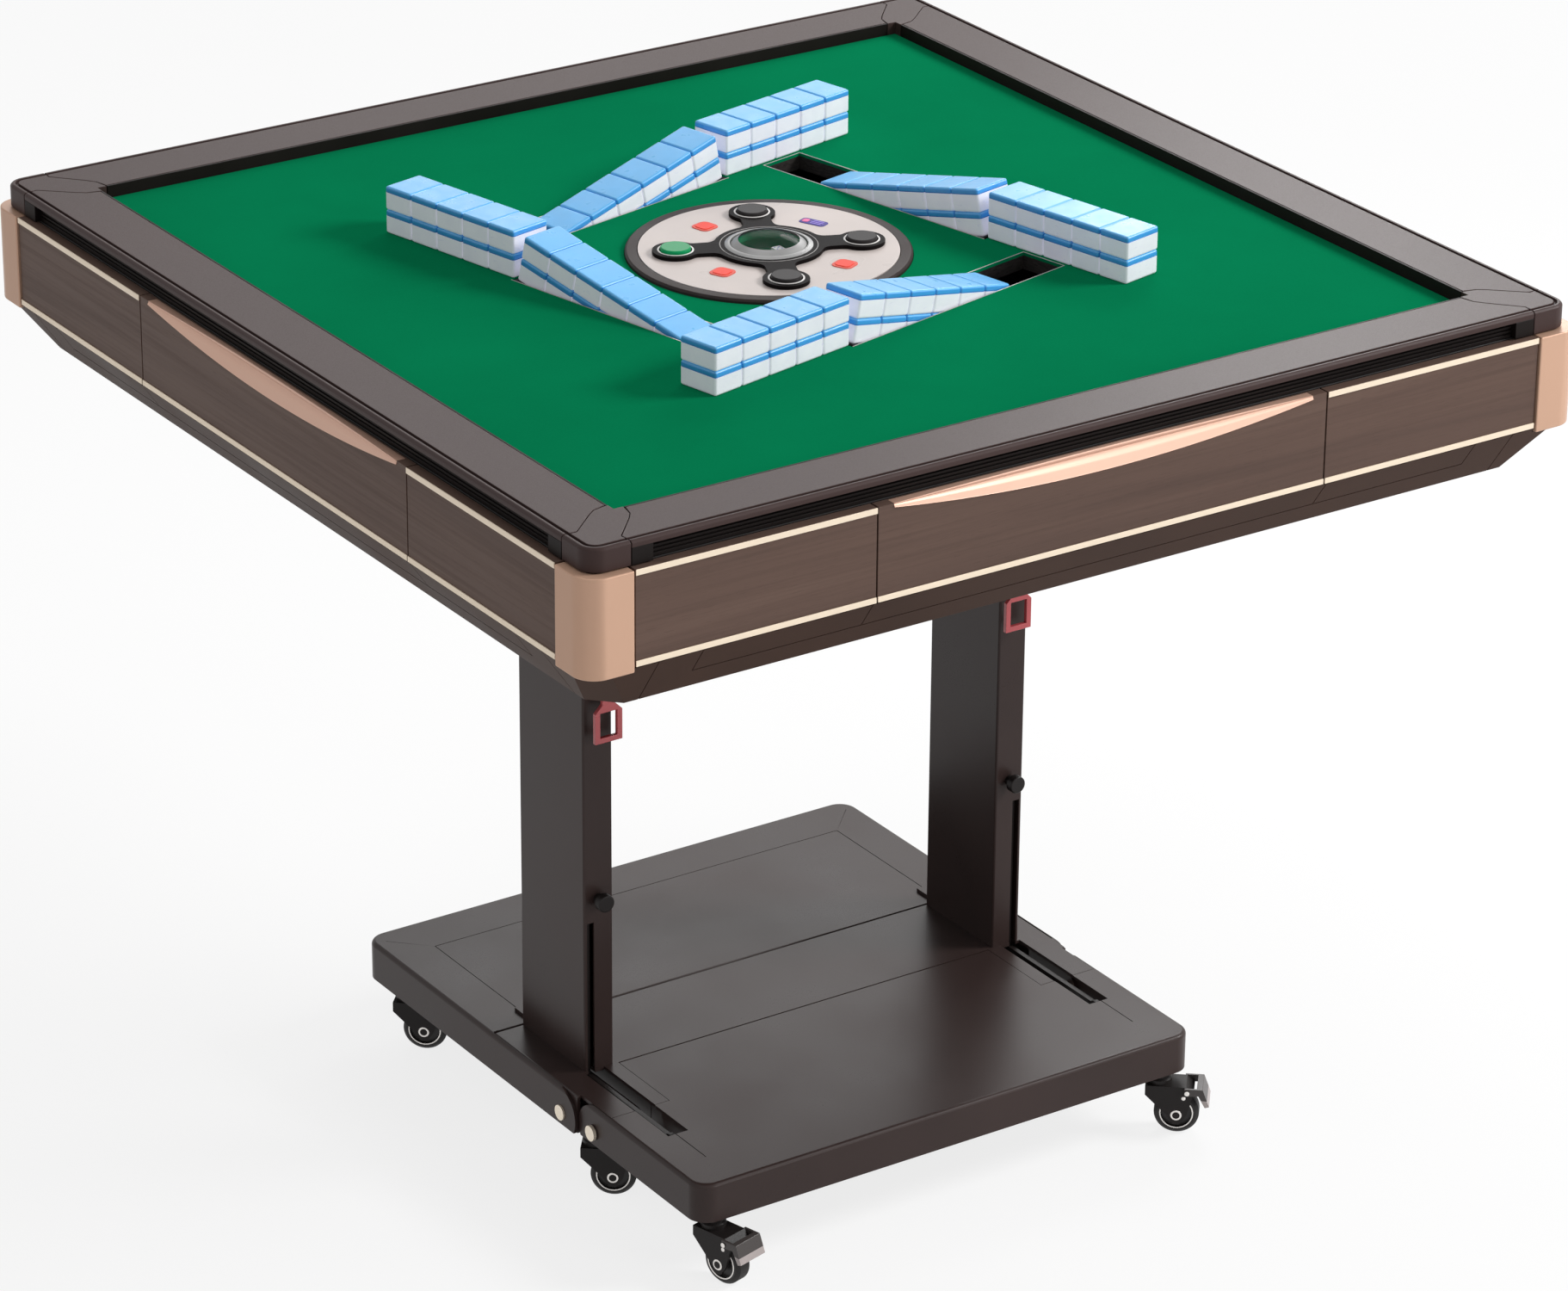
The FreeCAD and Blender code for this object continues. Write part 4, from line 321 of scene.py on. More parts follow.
LOOKS = {
    "stand": powder_coat("stand_paint", (0.036, 0.0225, 0.0205), 0.32, 0.2),
    "caster": powder_coat("caster_paint", (0.012, 0.0096, 0.0092), 0.42, 0.2, 900.0, 0.05),
    "link": powder_coat("link_paint", (0.016, 0.0125, 0.0118), 0.4, 0.2),
    "chassis": powder_coat("chassis_paint", (0.010, 0.0085, 0.0085), 0.55, 0.15),
    "shell": powder_coat("shell_bronze", (0.060, 0.036, 0.028), 0.4, 0.015, 2200.0, 0.1),
    "rail": soft_rail("rail_skin", (0.050, 0.030, 0.028)),
    "riser": moulded("riser_black", (0.0085, 0.0058, 0.0052), 0.5, gloss=0.12),
    "black": moulded("black_plastic", (0.014, 0.012, 0.012), 0.45, gloss=0.2),
    "collar": moulded("collar_plastic", (0.038, 0.028, 0.026), 0.4, gloss=0.06),
    "cover": moulded("cover_plastic", (0.0100, 0.0080, 0.0080), 0.24, 3000.0, 0.03, 0.012),
    "white": moulded("console_white", (0.60, 0.53, 0.50), 0.3, 2600.0, 0.03, 0.1),
    "tray": moulded("drawer_plastic", (0.045, 0.042, 0.041), 0.5),
    "drum": moulded("drum_plastic", (0.055, 0.055, 0.058), 0.5),
    "post": anodised("post_rose_gold", (0.49, 0.305, 0.215), 0.34, UP_LINES, 0.25, Anisotropic=0.8,
                     Anisotropic_Rotation=0.25, Specular_IOR_Level=0.15),
    "pull": anodised("pull_rose_gold", (0.58, 0.36, 0.27), 0.38, LEVEL_LINES, 0.35),
    "trim": anodised("trim_pale_gold", (0.76, 0.64, 0.50), 0.36, LEVEL_LINES, 0.3),
    "pin": anodised("pin_brass", (0.88, 0.78, 0.64), 0.34, NO_LINES, 0.5),
    "steel": zinc("plated_steel"),
    "bright": anodised("bright_steel", (0.74, 0.71, 0.68), 0.3, NO_LINES, 0.7),
    "bezel": anodised("dome_bezel", (0.24, 0.238, 0.236), 0.36, NO_LINES, 0.3),
    "slot_rim": anodised("slot_rim", (0.42, 0.40, 0.38), 0.36, NO_LINES, 0.5),
    "walnut": walnut("walnut_veneer"),
    "mat": baize("mat_baize", (0.0012, 0.182, 0.071)),
    # A lighter copy of the mat's green: painted light that offsets the shade under the dome.
    "felt": baize("dice_felt_lightened", (0.0012, 0.230, 0.090)),
    # The board is near black, painted shade for the walls seen down the slots.
    "board": shade_dark_board("board_dark_as_shade"),
    # The white tiles carry a faint glow, painted light on their shaded sides.
    "tile_white": resin("tile_white", (0.84, 0.84, 0.90), 0.12, 0.13),
    "tile_blue": resin("tile_blue", (0.11, 0.46, 0.86), 0.1),
    # The blue layer's sides: a darker, deeper copy of the top's blue, painted shade for faces turned from
    # the light.
    "tile_blue_shaded": resin("tile_blue_painted_shade", (0.060, 0.36, 0.82), 0.05),
    "tile_seam": resin("tile_seam_blue", (0.020, 0.20, 0.60), 0.05),
    "rubber": rubber("wheel_rubber"),
    "hub": moulded("wheel_hub", (0.014, 0.0115, 0.0112), 0.35),
    "pedal": powder_coat("pedal_grey", (0.052, 0.044, 0.042), 0.3, 0.4, 900.0, 0.05),
    "pedal_toe": powder_coat("pedal_toe", (0.38, 0.33, 0.32), 0.3, 0.6, 900.0, 0.05),
    "latch": moulded("latch_red", (0.44, 0.060, 0.068), 0.26, 2200.0, 0.05, 0.6),
    "clear": clear_plastic("dome_clear"),
    "button": moulded("button_smoke", (0.040, 0.036, 0.036), 0.18, 2600.0, 0.02, 0.03),
    "button_lit": lit("button_green", (0.004, 0.24, 0.08), 0.25, 0.2, 0.08),
    "seat_ring": moulded("seat_ring_white", (0.74, 0.71, 0.69), 0.3, 2600.0, 0.02),
    "fine_ring": moulded("cover_line", (0.34, 0.32, 0.31), 0.35, 2600.0, 0.02),
    "key": lit("key_red", (0.80, 0.060, 0.036), 0.12, 0.3, 0.06),
    "key_edge": lit("key_rim", (0.72, 0.100, 0.070), 0.05, 0.3, 0.06),
    "display": lit("display_violet", (0.050, 0.036, 0.22), 0.2, 0.3, 0.06),
    "display_bar": lit("display_bars", (0.26, 0.19, 0.60), 0.3, 0.3, 0.06),
    "display_lamp": lit("display_lamp", (0.70, 0.14, 0.32), 0.2, 0.3, 0.06),
    "die": resin("dice_white", (0.80, 0.80, 0.81)),
    "pip_blue": resin("dice_pip_blue", (0.02, 0.10, 0.48), 0.0),
    "pip_red": resin("dice_pip_red", (0.60, 0.03, 0.03), 0.0),
}


# ---- mesh helpers --------------------------------------------------------------------------------

FLAT_TURN = math.radians(0.5)      # facets that turn by less are joined
SHARP_TURN = math.radians(28)      # edges that turn by more are rounded
SMOOTH_TURN = math.radians(32)     # edges that turn by less are shaded smooth
SKIRT_LEAST = 0.02                 # a side deeper than this is a skirt
PLATE_EASE = 0.0003
FINE_EASE = 0.1 * MM
RIVET_STEPS = 20
SEATING = 0.2 * MM                 # trim starts this far inside what carries it


def placed(name, data):
    """A new object in the scene."""
    item = bpy.data.objects.new(name, data)
    bpy.context.scene.collection.objects.link(item)
    return item


def new_piece(name, bm, looks, body, slot, replaced=(), smooth_turn=SMOOTH_TURN):
    """Makes an object of a bmesh, gives it its looks, and lets it ride on its body."""
    mesh = bpy.data.meshes.new(name)
    bm.to_mesh(mesh)
    bm.free()
    for look in looks:
        mesh.materials.append(LOOKS[look])
    mesh.shade_smooth()
    mesh.set_sharp_from_angle(angle=smooth_turn)
    piece = placed(name, mesh)
    flat = piece.modifiers.new("flat_faces", "WEIGHTED_NORMAL")
    flat.keep_sharp = True
    flat.weight = 100
    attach(piece, body)
    if replaced:
        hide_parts(*replaced)


def flattened(bm):
    """Joins facets that lie in one plane."""
    bmesh.ops.dissolve_limit(bm, angle_limit=FLAT_TURN, verts=bm.verts, edges=bm.edges)


def solid_mesh(faces):
    """One closed solid with its facets joined into plain faces."""
    bm = bmesh.new()
    verts = {}
    for corners in faces:
        unique = list(dict.fromkeys(corners))
        if len(unique) < 3:
            continue
        for corner in unique:
            if corner not in verts:
                verts[corner] = bm.verts.new(corner)
        bm.faces.new([verts[corner] for corner in unique])
    flattened(bm)
    return bm


def solids(node):
    """The closed solids of a CAD node: its faces in order, cut wherever no edge is left open."""
    mesh = frame["nodes"][node].data
    places = [tuple(round(value, 6) for value in vert.co) for vert in mesh.vertices]
    found = []
    faces = []
    open_edges = set()
    for polygon in mesh.polygons:
        corners = [places[index] for index in polygon.vertices]
        faces.append(corners)
        for first, second in zip(corners, corners[1:] + corners[:1]):
            if first != second:
                open_edges ^= {frozenset((first, second))}
        if not open_edges:
            found.append(faces)
            faces = []
    return found


def absorb(bm, part):
    """Adds one bmesh to another."""
    mesh = bpy.data.meshes.new("part")
    part.to_mesh(mesh)
    part.free()
    bm.from_mesh(mesh)
    bpy.data.meshes.remove(mesh)


def carved(bm, cutter):
    """Cuts a closed solid out of another."""
    items = []
    for part in (bm, cutter):
        mesh = bpy.data.meshes.new("carved")
        part.to_mesh(mesh)
        items.append(placed("carved", mesh))
    cut = items[0].modifiers.new("cut", "BOOLEAN")
    cut.object = items[1]
    cut.operation = "DIFFERENCE"
    cut.solver = "EXACT"
    depsgraph = bpy.context.evaluated_depsgraph_get()
    result = bpy.data.meshes.new_from_object(items[0].evaluated_get(depsgraph))
    bm.clear()
    bm.from_mesh(result)
    meshes = [item.data for item in items] + [result]
    for item in items:
        bpy.data.objects.remove(item)
    for mesh in meshes:
        bpy.data.meshes.remove(mesh)
    flattened(bm)


def sliced(bm, level):
    """Cuts a solid's faces along a level plane, and keeps both sides."""
    geom = bm.verts[:] + bm.edges[:] + bm.faces[:]
    bmesh.ops.bisect_plane(bm, geom=geom, plane_co=(0, 0, level), plane_no=(0, 0, 1))


def round_edges(bm, width, segments, chosen=None):
    """Rounds a solid's sharp edges, or the chosen ones, as far as its smallest faces let it."""
    sharp = [edge for edge in bm.edges if edge.is_manifold and edge.calc_face_angle(0) > SHARP_TURN
             and (chosen is None or chosen(edge))]
    bmesh.ops.bevel(bm, geom=sharp, offset=width, offset_type="OFFSET", segments=segments, profile=0.5,
                    affect="EDGES", clamp_overlap=True)


def top_rim(edge):
    """An outer edge of a pressed plate, where its top turns down into a skirt."""
    up, side = sorted(edge.link_faces, key=lambda face: -face.normal.z)
    levels = [vert.co.z for vert in side.verts]
    turns_down = up.normal.z > 0.9 and abs(side.normal.z) < 0.1 and edge.is_convex
    return turns_down and max(levels) - min(levels) > SKIRT_LEAST


def dressed(node, looks, width, segments, paint=None, chosen=None, shift=None, before=None):
    """A piece for a CAD node: the same solids, with their edges eased by a width in mm.

    paint picks a face's look, chosen names the solids that are kept, shift moves each vertex, and before
    works on a solid ahead of the easing.
    """
    whole = bmesh.new()
    for index, faces in enumerate(solids(node)):
        if chosen and index not in chosen:
            continue
        part = solid_mesh(faces)
        if shift:
            for vert in part.verts:
                vert.co = shift(vert.co)
        if before:
            before(part)
        round_edges(part, width * MM, segments)
        for face in part.faces:
            face.material_index = paint(face, index) if paint else 0
        absorb(whole, part)
    looks = (looks,) if isinstance(looks, str) else looks
    new_piece(f"{node}_finished", whole, looks, BODY_OF[node], SLOT_OF[node], (node,))


def painted(bm, faces, material):
    """Gives new faces their look and turns them outward."""
    for face in faces:
        face.material_index = material
    bmesh.ops.recalc_face_normals(bm, faces=faces)


def skin(bm, rings):
    """Faces from each ring of vertices to the next one."""
    made = []
    for first, second in zip(rings, rings[1:]):
        for index in range(len(first)):
            after = (index + 1) % len(first)
            made.append(bm.faces.new((first[index], first[after], second[after], second[index])))
    return made


def round_outline(half_x, half_y, radius, steps):
    """The outline of a rectangle with round corners, whose centres lie at the two halves."""
    points = []
    for quarter, (sx, sy) in enumerate(((1, 1), (-1, 1), (-1, -1), (1, -1))):
        for step in range(steps + 1):
            turn = math.pi / 2 * (quarter + step / steps)
            points.append((sx * half_x + radius * math.cos(turn), sy * half_y + radius * math.sin(turn)))
    return points


def turned(bm, profile, place, steps, material):
    """Turns a closed profile of (radius, height) about the place's Z; a radius of 0 is a pole."""
    rings = []
    for radius, height in profile:
        count = steps if radius else 1
        turns = [2 * math.pi * step / steps for step in range(count)]
        circle = [(radius * math.cos(turn), radius * math.sin(turn), height) for turn in turns]
        rings.append([bm.verts.new(place @ Vector(point)) for point in circle])
    made = []
    for first, second in zip(rings, rings[1:] + rings[:1]):
        if len(first) == len(second) == 1:
            continue
        for step in range(steps):
            after = step + 1
            corners = [first[step % len(first)], first[after % len(first)], second[after % len(second)],
                       second[step % len(second)]]
            made.append(bm.faces.new(list(dict.fromkeys(corners))))
    painted(bm, made, material)


def flat_ring(bm, inner, outer, low, high, place, steps=64, material=0):
    """A flat ring of rectangular section with its upper edges eased."""
    ease = min(0.25 * MM, (outer - inner) / 4, (high - low) / 2)
    turned(bm, [(inner, low), (outer, low), (outer, high - ease), (outer - ease, high),
                (inner + ease, high), (inner, high - ease)], place, steps, material)


def rivet(bm, radius, rise, place, material=0):
    """A low domed head."""
    turned(bm, [(0, 0), (radius, 0), (radius, rise * 0.35), (radius * 0.82, rise * 0.75),
                (radius * 0.5, rise * 0.95), (0, rise)], place, RIVET_STEPS, material)


def plate(bm, place, size, corner, height, ease=PLATE_EASE, steps=6, material=0):
    """A plate with round corners, eased along its top edge."""
    half_x = size[0] / 2 - corner
    half_y = size[1] / 2 - corner
    rings = []
    for up, inset in ((0.0, 0.0), (height - ease, 0.0), (height - ease * 0.3, ease * 0.3), (height, ease)):
        outline = round_outline(half_x, half_y, corner - inset, steps)
        rings.append([bm.verts.new(place @ Vector((x, y, up))) for x, y in outline])
    ends = [bm.faces.new(list(reversed(rings[0]))), bm.faces.new(rings[-1])]
    painted(bm, ends + skin(bm, rings), material)


def about_z(degrees):
    """A turn about the object's upright axis."""
    return Matrix.Rotation(math.radians(degrees), 4, "Z")


def facing(point, direction):
    """A place at the point whose Z looks along the direction."""
    return Matrix.Translation(point) @ Vector(direction).to_track_quat("Z", "Y").to_matrix().to_4x4()


# ---- machine: frame, mat, band and shell ---------------------------------------------------------

WALL_TURN = 12.7
SLOT_START = -108.0 * MM
SLOT_LENGTH = 260.0 * MM
SLOT_WIDTH = 45.0 * MM
WALL_OFFSET = 175.0 * MM
RIM_WIDTH = 0.9 * MM
RIM_RISE = 0.3 * MM
RIM_STEPS = 2
GROOVE_OUTER = 4.4 * MM
GROOVE_INNER = 7.2 * MM
GROOVE_DEPTH = 2.4 * MM
GROOVE_STEPS = 10
CORNER_ROUND = 16.0 * MM
BAND_BACK = 472.0 * MM      # the band's front and back faces lie beyond this along Y
POST_LINE = 440.0 * MM      # panels end beside the posts beyond this
PANEL_LINE = 219.0 * MM     # and beside a drawer beyond this
FRONT_LINE = 218.0 * MM     # a drawer front ends beyond this
POST_SEAM = 1.2 * MM
DRAWER_SEAM = 0.4 * MM
UPPER_STRIP = 0.767         # the lower edge of the upper strips
LOWER_STRIP = 0.699         # the upper edge of the lower strips
STRIP_TRIM = 1.1 * MM


def rail_groove(part):
    """Cuts the fine groove that sets a bead apart along the frame's outer edge."""
    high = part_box("frame_rails")[1]
    ring = bmesh.new()
    loops = []
    for inset, level in ((GROOVE_OUTER, high.z - GROOVE_DEPTH), (GROOVE_OUTER, high.z + MM),
                         (GROOVE_INNER, high.z + MM), (GROOVE_INNER, high.z - GROOVE_DEPTH)):
        corner = CORNER_ROUND - inset
        reach = high.x - inset - corner
        outline = round_outline(reach, reach, corner, GROOVE_STEPS)
        loops.append([ring.verts.new((x, y, level)) for x, y in outline])
    bmesh.ops.recalc_face_normals(ring, faces=skin(ring, loops + loops[:1]))
    carved(part, ring)
    ring.free()


def band_seams(point):
    """Opens the seams beside posts and drawers, and moves the strips' edges so that they are thinner."""
    side = 0 if abs(point.y) > BAND_BACK else 1
    reach = abs(point[side])
    if reach > POST_LINE:
        reach -= POST_SEAM
    elif reach > PANEL_LINE:
        reach += DRAWER_SEAM
    elif reach > FRONT_LINE:
        reach -= DRAWER_SEAM
    point[side] = math.copysign(reach, point[side])
    if abs(point.z - UPPER_STRIP) < 1e-5:
        point.z += STRIP_TRIM
    elif abs(point.z - LOWER_STRIP) < 1e-5:
        point.z -= STRIP_TRIM
    return point


def machine_body():
    """The machine's own solids, and the drum in it."""
    dressed("frame_rails", "rail", 0.7, 2, before=rail_groove)
    dressed("frame_riser", "riser", 0.25, 1)
    dressed("table_mat", "mat", 0.5, 2)
    dressed("table_board", "board", 0.3, 1)
    dressed("center_collar", "collar", 0.4, 2)
    dressed("corner_posts", "post", 1.2, 3)
    dressed("side_panels", "walnut", 0.4, 2, shift=band_seams)
    dressed("panel_trims", "trim", 0.3, 2, shift=band_seams)
    dressed("bottom_shell", "shell", 0.8, 2)
    dressed("chassis_frame", "chassis", 0.5, 1)
    dressed("drive_unit", "steel", 0.6, 2)
    dressed("shuffle_drum", "drum", 0.6, 2)


def slot_rims():
    """A thin metal edge along both sides and the far end of each ramp slot in the mat."""
    bm = bmesh.new()
    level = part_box("table_mat")[1].z
    half = SLOT_WIDTH / 2 + RIM_WIDTH / 2
    length = SLOT_LENGTH + RIM_WIDTH
    middle = SLOT_START + length / 2
    end = SLOT_START + SLOT_LENGTH + RIM_WIDTH / 2
    strips = ((middle, -half, (length, RIM_WIDTH)), (middle, half, (length, RIM_WIDTH)),
              (end, 0, (RIM_WIDTH, SLOT_WIDTH)))
    for side in range(4):
        wall = about_z(WALL_TURN + 90 * side)
        for along, offset, size in strips:
            place = wall @ Matrix.Translation((along, -WALL_OFFSET + offset, level))
            plate(bm, place, size, RIM_WIDTH / 3, RIM_RISE, FINE_EASE, RIM_STEPS)
    new_piece("slot_rims", bm, ("slot_rim",), "machine", "steel")


# ---- drawers -------------------------------------------------------------------------------------

PULL_HALF = 204.0 * MM
PULL_DEPTH = 17.0 * MM
PULL_END = 3.0 * MM
PULL_BACK = 9.0 * MM
PULL_STATIONS = 56
PULL_SMOOTH_TURN = math.radians(50)
# (share of the height, mm behind the front) from the lower edge up.
PULL_SECTION = ((0.0, 0.0), (0.03, 0.5), (0.40, 3.0), (0.52, 4.6), (0.62, 6.6), (0.74, 7.0), (0.84, 5.6),
                (0.90, 5.0), (0.96, 5.1), (1.0, 5.7))


def pull_station(across, low, high):
    """One section of the pull, from its lower edge over the valley to the lip, then the back."""
    rise = PULL_DEPTH - PULL_END
    radius = (PULL_HALF ** 2 + rise ** 2) / (2 * rise)
    bottom = high.z - PULL_DEPTH + radius - math.sqrt(radius ** 2 - across ** 2)
    depth = high.z - bottom
    front = [Vector((across, low.y + inward * MM * depth / PULL_DEPTH, bottom + share * depth))
             for share, inward in PULL_SECTION]
    back = [Vector((across, low.y + PULL_BACK, high.z)), Vector((across, low.y + PULL_BACK, bottom))]
    return front + back


def pull(side):
    """The scooped metal pull along a drawer's top edge: a lip, a valley and a long arched band."""
    low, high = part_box("drawer_front_front")
    bm = bmesh.new()
    turn = about_z(90 * SIDES.index(side))
    rows = []
    for step in range(PULL_STATIONS + 1):
        across = PULL_HALF * (2 * step / PULL_STATIONS - 1)
        rows.append([bm.verts.new(turn @ point) for point in pull_station(across, low, high)])
    painted(bm, skin(bm, rows) + [bm.faces.new(rows[0]), bm.faces.new(rows[-1])], 0)
    new_piece(f"drawer_pull_{side}", bm, ("pull",), f"drawer_{side}", "rose_gold",
              (f"drawer_front_{side}",), PULL_SMOOTH_TURN)


def drawers():
    """Each drawer front keeps its wood and its strip, gets a modelled pull, and has a tray behind."""
    for side in SIDES:
        dressed(f"drawer_front_{side}", ("walnut", "trim"), 0.4, 2, lambda face, solid: solid // 2,
                chosen=(0, 2), shift=band_seams)
        pull(side)
        dressed(f"drawer_tray_{side}", "tray", 0.8, 2)


# ---- console -------------------------------------------------------------------------------------

DOME_GLASS = 26.0 * MM
WELL_RADIUS = 34.0 * MM
SEAT_RING = (14.0 * MM, 15.6 * MM)
SEAT_RING_RISE = 0.35 * MM
FINE_RING = (41.2 * MM, 41.9 * MM)
FINE_RING_RISE = 0.2 * MM
# (radius, height) in mm
BEZEL_PROFILE = ((33.0, -0.2), (37.6, -0.2), (37.6, 0.3), (36.6, 0.9), (34.6, 1.7), (33.4, 1.7),
                 (33.0, 1.3))
KEY_PLACES = ((104, 74.0 * MM), (203, 70.0 * MM), (296, 74.0 * MM))     # turn and orbit
KEY_SIZE = 19.0 * MM
KEY_ROUND = 5.5 * MM
KEY_RISE = 0.7 * MM
KEY_FACE_SIZE = KEY_SIZE - 5.0 * MM
KEY_FACE_ROUND = 3.6 * MM
KEY_FACE_RISE = 0.6 * MM
DISPLAY_TURN = 25
DISPLAY_ORBIT = 73.0 * MM
DISPLAY_SIZE = (12.0 * MM, 25.0 * MM)
DISPLAY_ROUND = 3.5 * MM
DISPLAY_RISE = 0.5 * MM
DISPLAY_FACE = 0.4 * MM     # where its bars and lamp start
BARS = ((-3.1 * MM, 10.5 * MM), (0, 12.5 * MM), (3.1 * MM, 10.5 * MM))      # place and length
BAR_OFFSET = -3.6 * MM
BAR_WIDTH = 1.5 * MM
BAR_ROUND = 0.6 * MM
BAR_RISE = 0.3 * MM
LAMP_OFFSET = 7.6 * MM
LAMP_SIZE = (7.0 * MM, 6.0 * MM)
LAMP_ROUND = 2.2 * MM
LAMP_RISE = 0.35 * MM
PIP_RADIUS = 0.9 * MM
ACE_RADIUS = 1.5 * MM
PIP_PITCH = 2.3 * MM
PIP_SEATING = 0.1 * MM
PIP_RISE = 0.18 * MM
PIP_SPOTS = {1: ((0, 0),), 2: ((-1, -1), (1, 1)), 3: ((-1, -1), (0, 0), (1, 1)),
             4: ((-1, -1), (-1, 1), (1, -1), (1, 1)), 5: ((-1, -1), (-1, 1), (0, 0), (1, -1), (1, 1)),
             6: ((-1, -1), (-1, 0), (-1, 1), (1, -1), (1, 0), (1, 1))}


def from_axis(face):
    """How far a face's middle is from the console's axis."""
    return face.calc_center_median().xy.length


def console():
    """The disc, its cover, the dome over the dice plate, and the four buttons."""
    dressed("console_disc", ("white", "felt"), 0.5, 2,
            lambda face, solid: int(from_axis(face) < WELL_RADIUS))
    dressed("console_cover", ("cover", "felt"), 0.5, 2,
            lambda face, solid: int(from_axis(face) < WELL_RADIUS and abs(face.normal.z) < 0.5))
    dressed("dice_dome", ("clear", "bezel", "felt"), 0.3, 1, dome_paint)
    dressed("dice_tray", ("felt", "die"), 0.5, 3, lambda face, solid: int(solid > 0))
    for count in range(1, 5):
        dressed(f"player_button_{count}", "button_lit" if count == 2 else "button", 0.5, 3)


def dome_paint(face, solid):
    """Clear in the middle; the outer slope is the metal bezel, lined with felt inside."""
    if from_axis(face) < DOME_GLASS:
        return 0
    outward = face.normal.z > 0.1 or face.normal.xy.dot(face.calc_center_median().xy) > 0
    return 1 if outward else 2


def console_rings():
    """Pale rings round the four button seats, the fine circle on the cover and the dome's bezel ring."""
    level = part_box("console_cover")[1].z
    bm = bmesh.new()
    for count in range(1, 5):
        low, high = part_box(f"player_button_{count}")
        middle = (low + high) / 2
        seat = Matrix.Translation((middle.x, middle.y, level))
        flat_ring(bm, *SEAT_RING, -SEATING, SEAT_RING_RISE, seat)
    cover = Matrix.Translation((0, 0, level))
    flat_ring(bm, *FINE_RING, -SEATING, FINE_RING_RISE, cover, 128, 1)
    turned(bm, [(radius * MM, height * MM) for radius, height in BEZEL_PROFILE], cover, 96, 2)
    new_piece("console_rings", bm, ("seat_ring", "fine_ring", "bezel"), "console", "white_plastic")


def console_keys():
    """Three soft red keys, each a rim with a lit face, and a small status display."""
    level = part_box("console_disc")[1].z
    bm = bmesh.new()
    for degrees, orbit in KEY_PLACES:
        place = about_z(degrees) @ Matrix.Translation((orbit, 0, level))
        plate(bm, place, (KEY_SIZE, KEY_SIZE), KEY_ROUND, KEY_RISE)
        plate(bm, place @ Matrix.Translation((0, 0, KEY_FACE_RISE)), (KEY_FACE_SIZE, KEY_FACE_SIZE),
              KEY_FACE_ROUND, KEY_FACE_RISE, material=1)
    new_piece("console_keys", bm, ("key_edge", "key"), "console", "button")
    bm = bmesh.new()
    place = about_z(DISPLAY_TURN) @ Matrix.Translation((DISPLAY_ORBIT, 0, level))
    plate(bm, place, DISPLAY_SIZE, DISPLAY_ROUND, DISPLAY_RISE)
    for across, length in BARS:
        bar = place @ Matrix.Translation((across, BAR_OFFSET, DISPLAY_FACE))
        plate(bm, bar, (BAR_WIDTH, length), BAR_ROUND, BAR_RISE, FINE_EASE, 3, 1)
    signal = place @ Matrix.Translation((0, LAMP_OFFSET, DISPLAY_FACE))
    plate(bm, signal, LAMP_SIZE, LAMP_ROUND, LAMP_RISE, FINE_EASE, 4, 2)
    new_piece("console_display", bm, ("display", "display_bar", "display_lamp"), "console", "button")


def dice_pips():
    """Sunk-looking pips on both dice: blue ones, and red where there is one or four."""
    bm = bmesh.new()
    for faces in solids("dice_tray")[1:]:
        corners = [Vector(corner) for face in faces for corner in face]
        low = Vector(min(corner[axis] for corner in corners) for axis in range(3))
        high = Vector(max(corner[axis] for corner in corners) for axis in range(3))
        middle = (low + high) / 2
        half = (high.x - low.x) / 2
        first = 5 if middle.x > 0 else 4
        shown = (((0, 0, 1), first), ((0, -1, 0), 6 - first), ((-1, 0, 0), 3), ((1, 0, 0), 6),
                 ((0, 1, 0), 2))
        for direction, count in shown:
            place = facing(middle + Vector(direction) * half, direction)
            for across, up in PIP_SPOTS[count]:
                radius = ACE_RADIUS if count == 1 else PIP_RADIUS
                spot = place @ Matrix.Translation((across * PIP_PITCH, up * PIP_PITCH, -PIP_SEATING))
                rivet(bm, radius, PIP_RISE, spot, int(count in (1, 4)))
    new_piece("dice_pips", bm, ("pip_blue", "pip_red"), "dice", "white_plastic")


# ---- tiles ---------------------------------------------------------------------------------------

TILE_ROUND = 2.2 * MM
TILE_BACK = 5.0 * MM
TILE_GROOVE = 0.35 * MM


def tile_frames(node):
    """The middle of every tile of a node, with its three edges from the shortest up."""
    found = []
    for faces in solids(node):
        corners = [Vector(corner) for corner in {corner for face in faces for corner in face}]
        middle = sum(corners, Vector()) / len(corners)
        spans = sorted((corner - corners[0] for corner in corners[1:]), key=lambda span: span.length)
        edges = []
        for span in spans:
            if all(abs(span.normalized().dot(edge.normalized())) < 0.01 for edge in edges):
                edges.append(span)
        up, across, along = edges
        found.append((middle, up if up.z > 0 else -up, across, along))
    return found


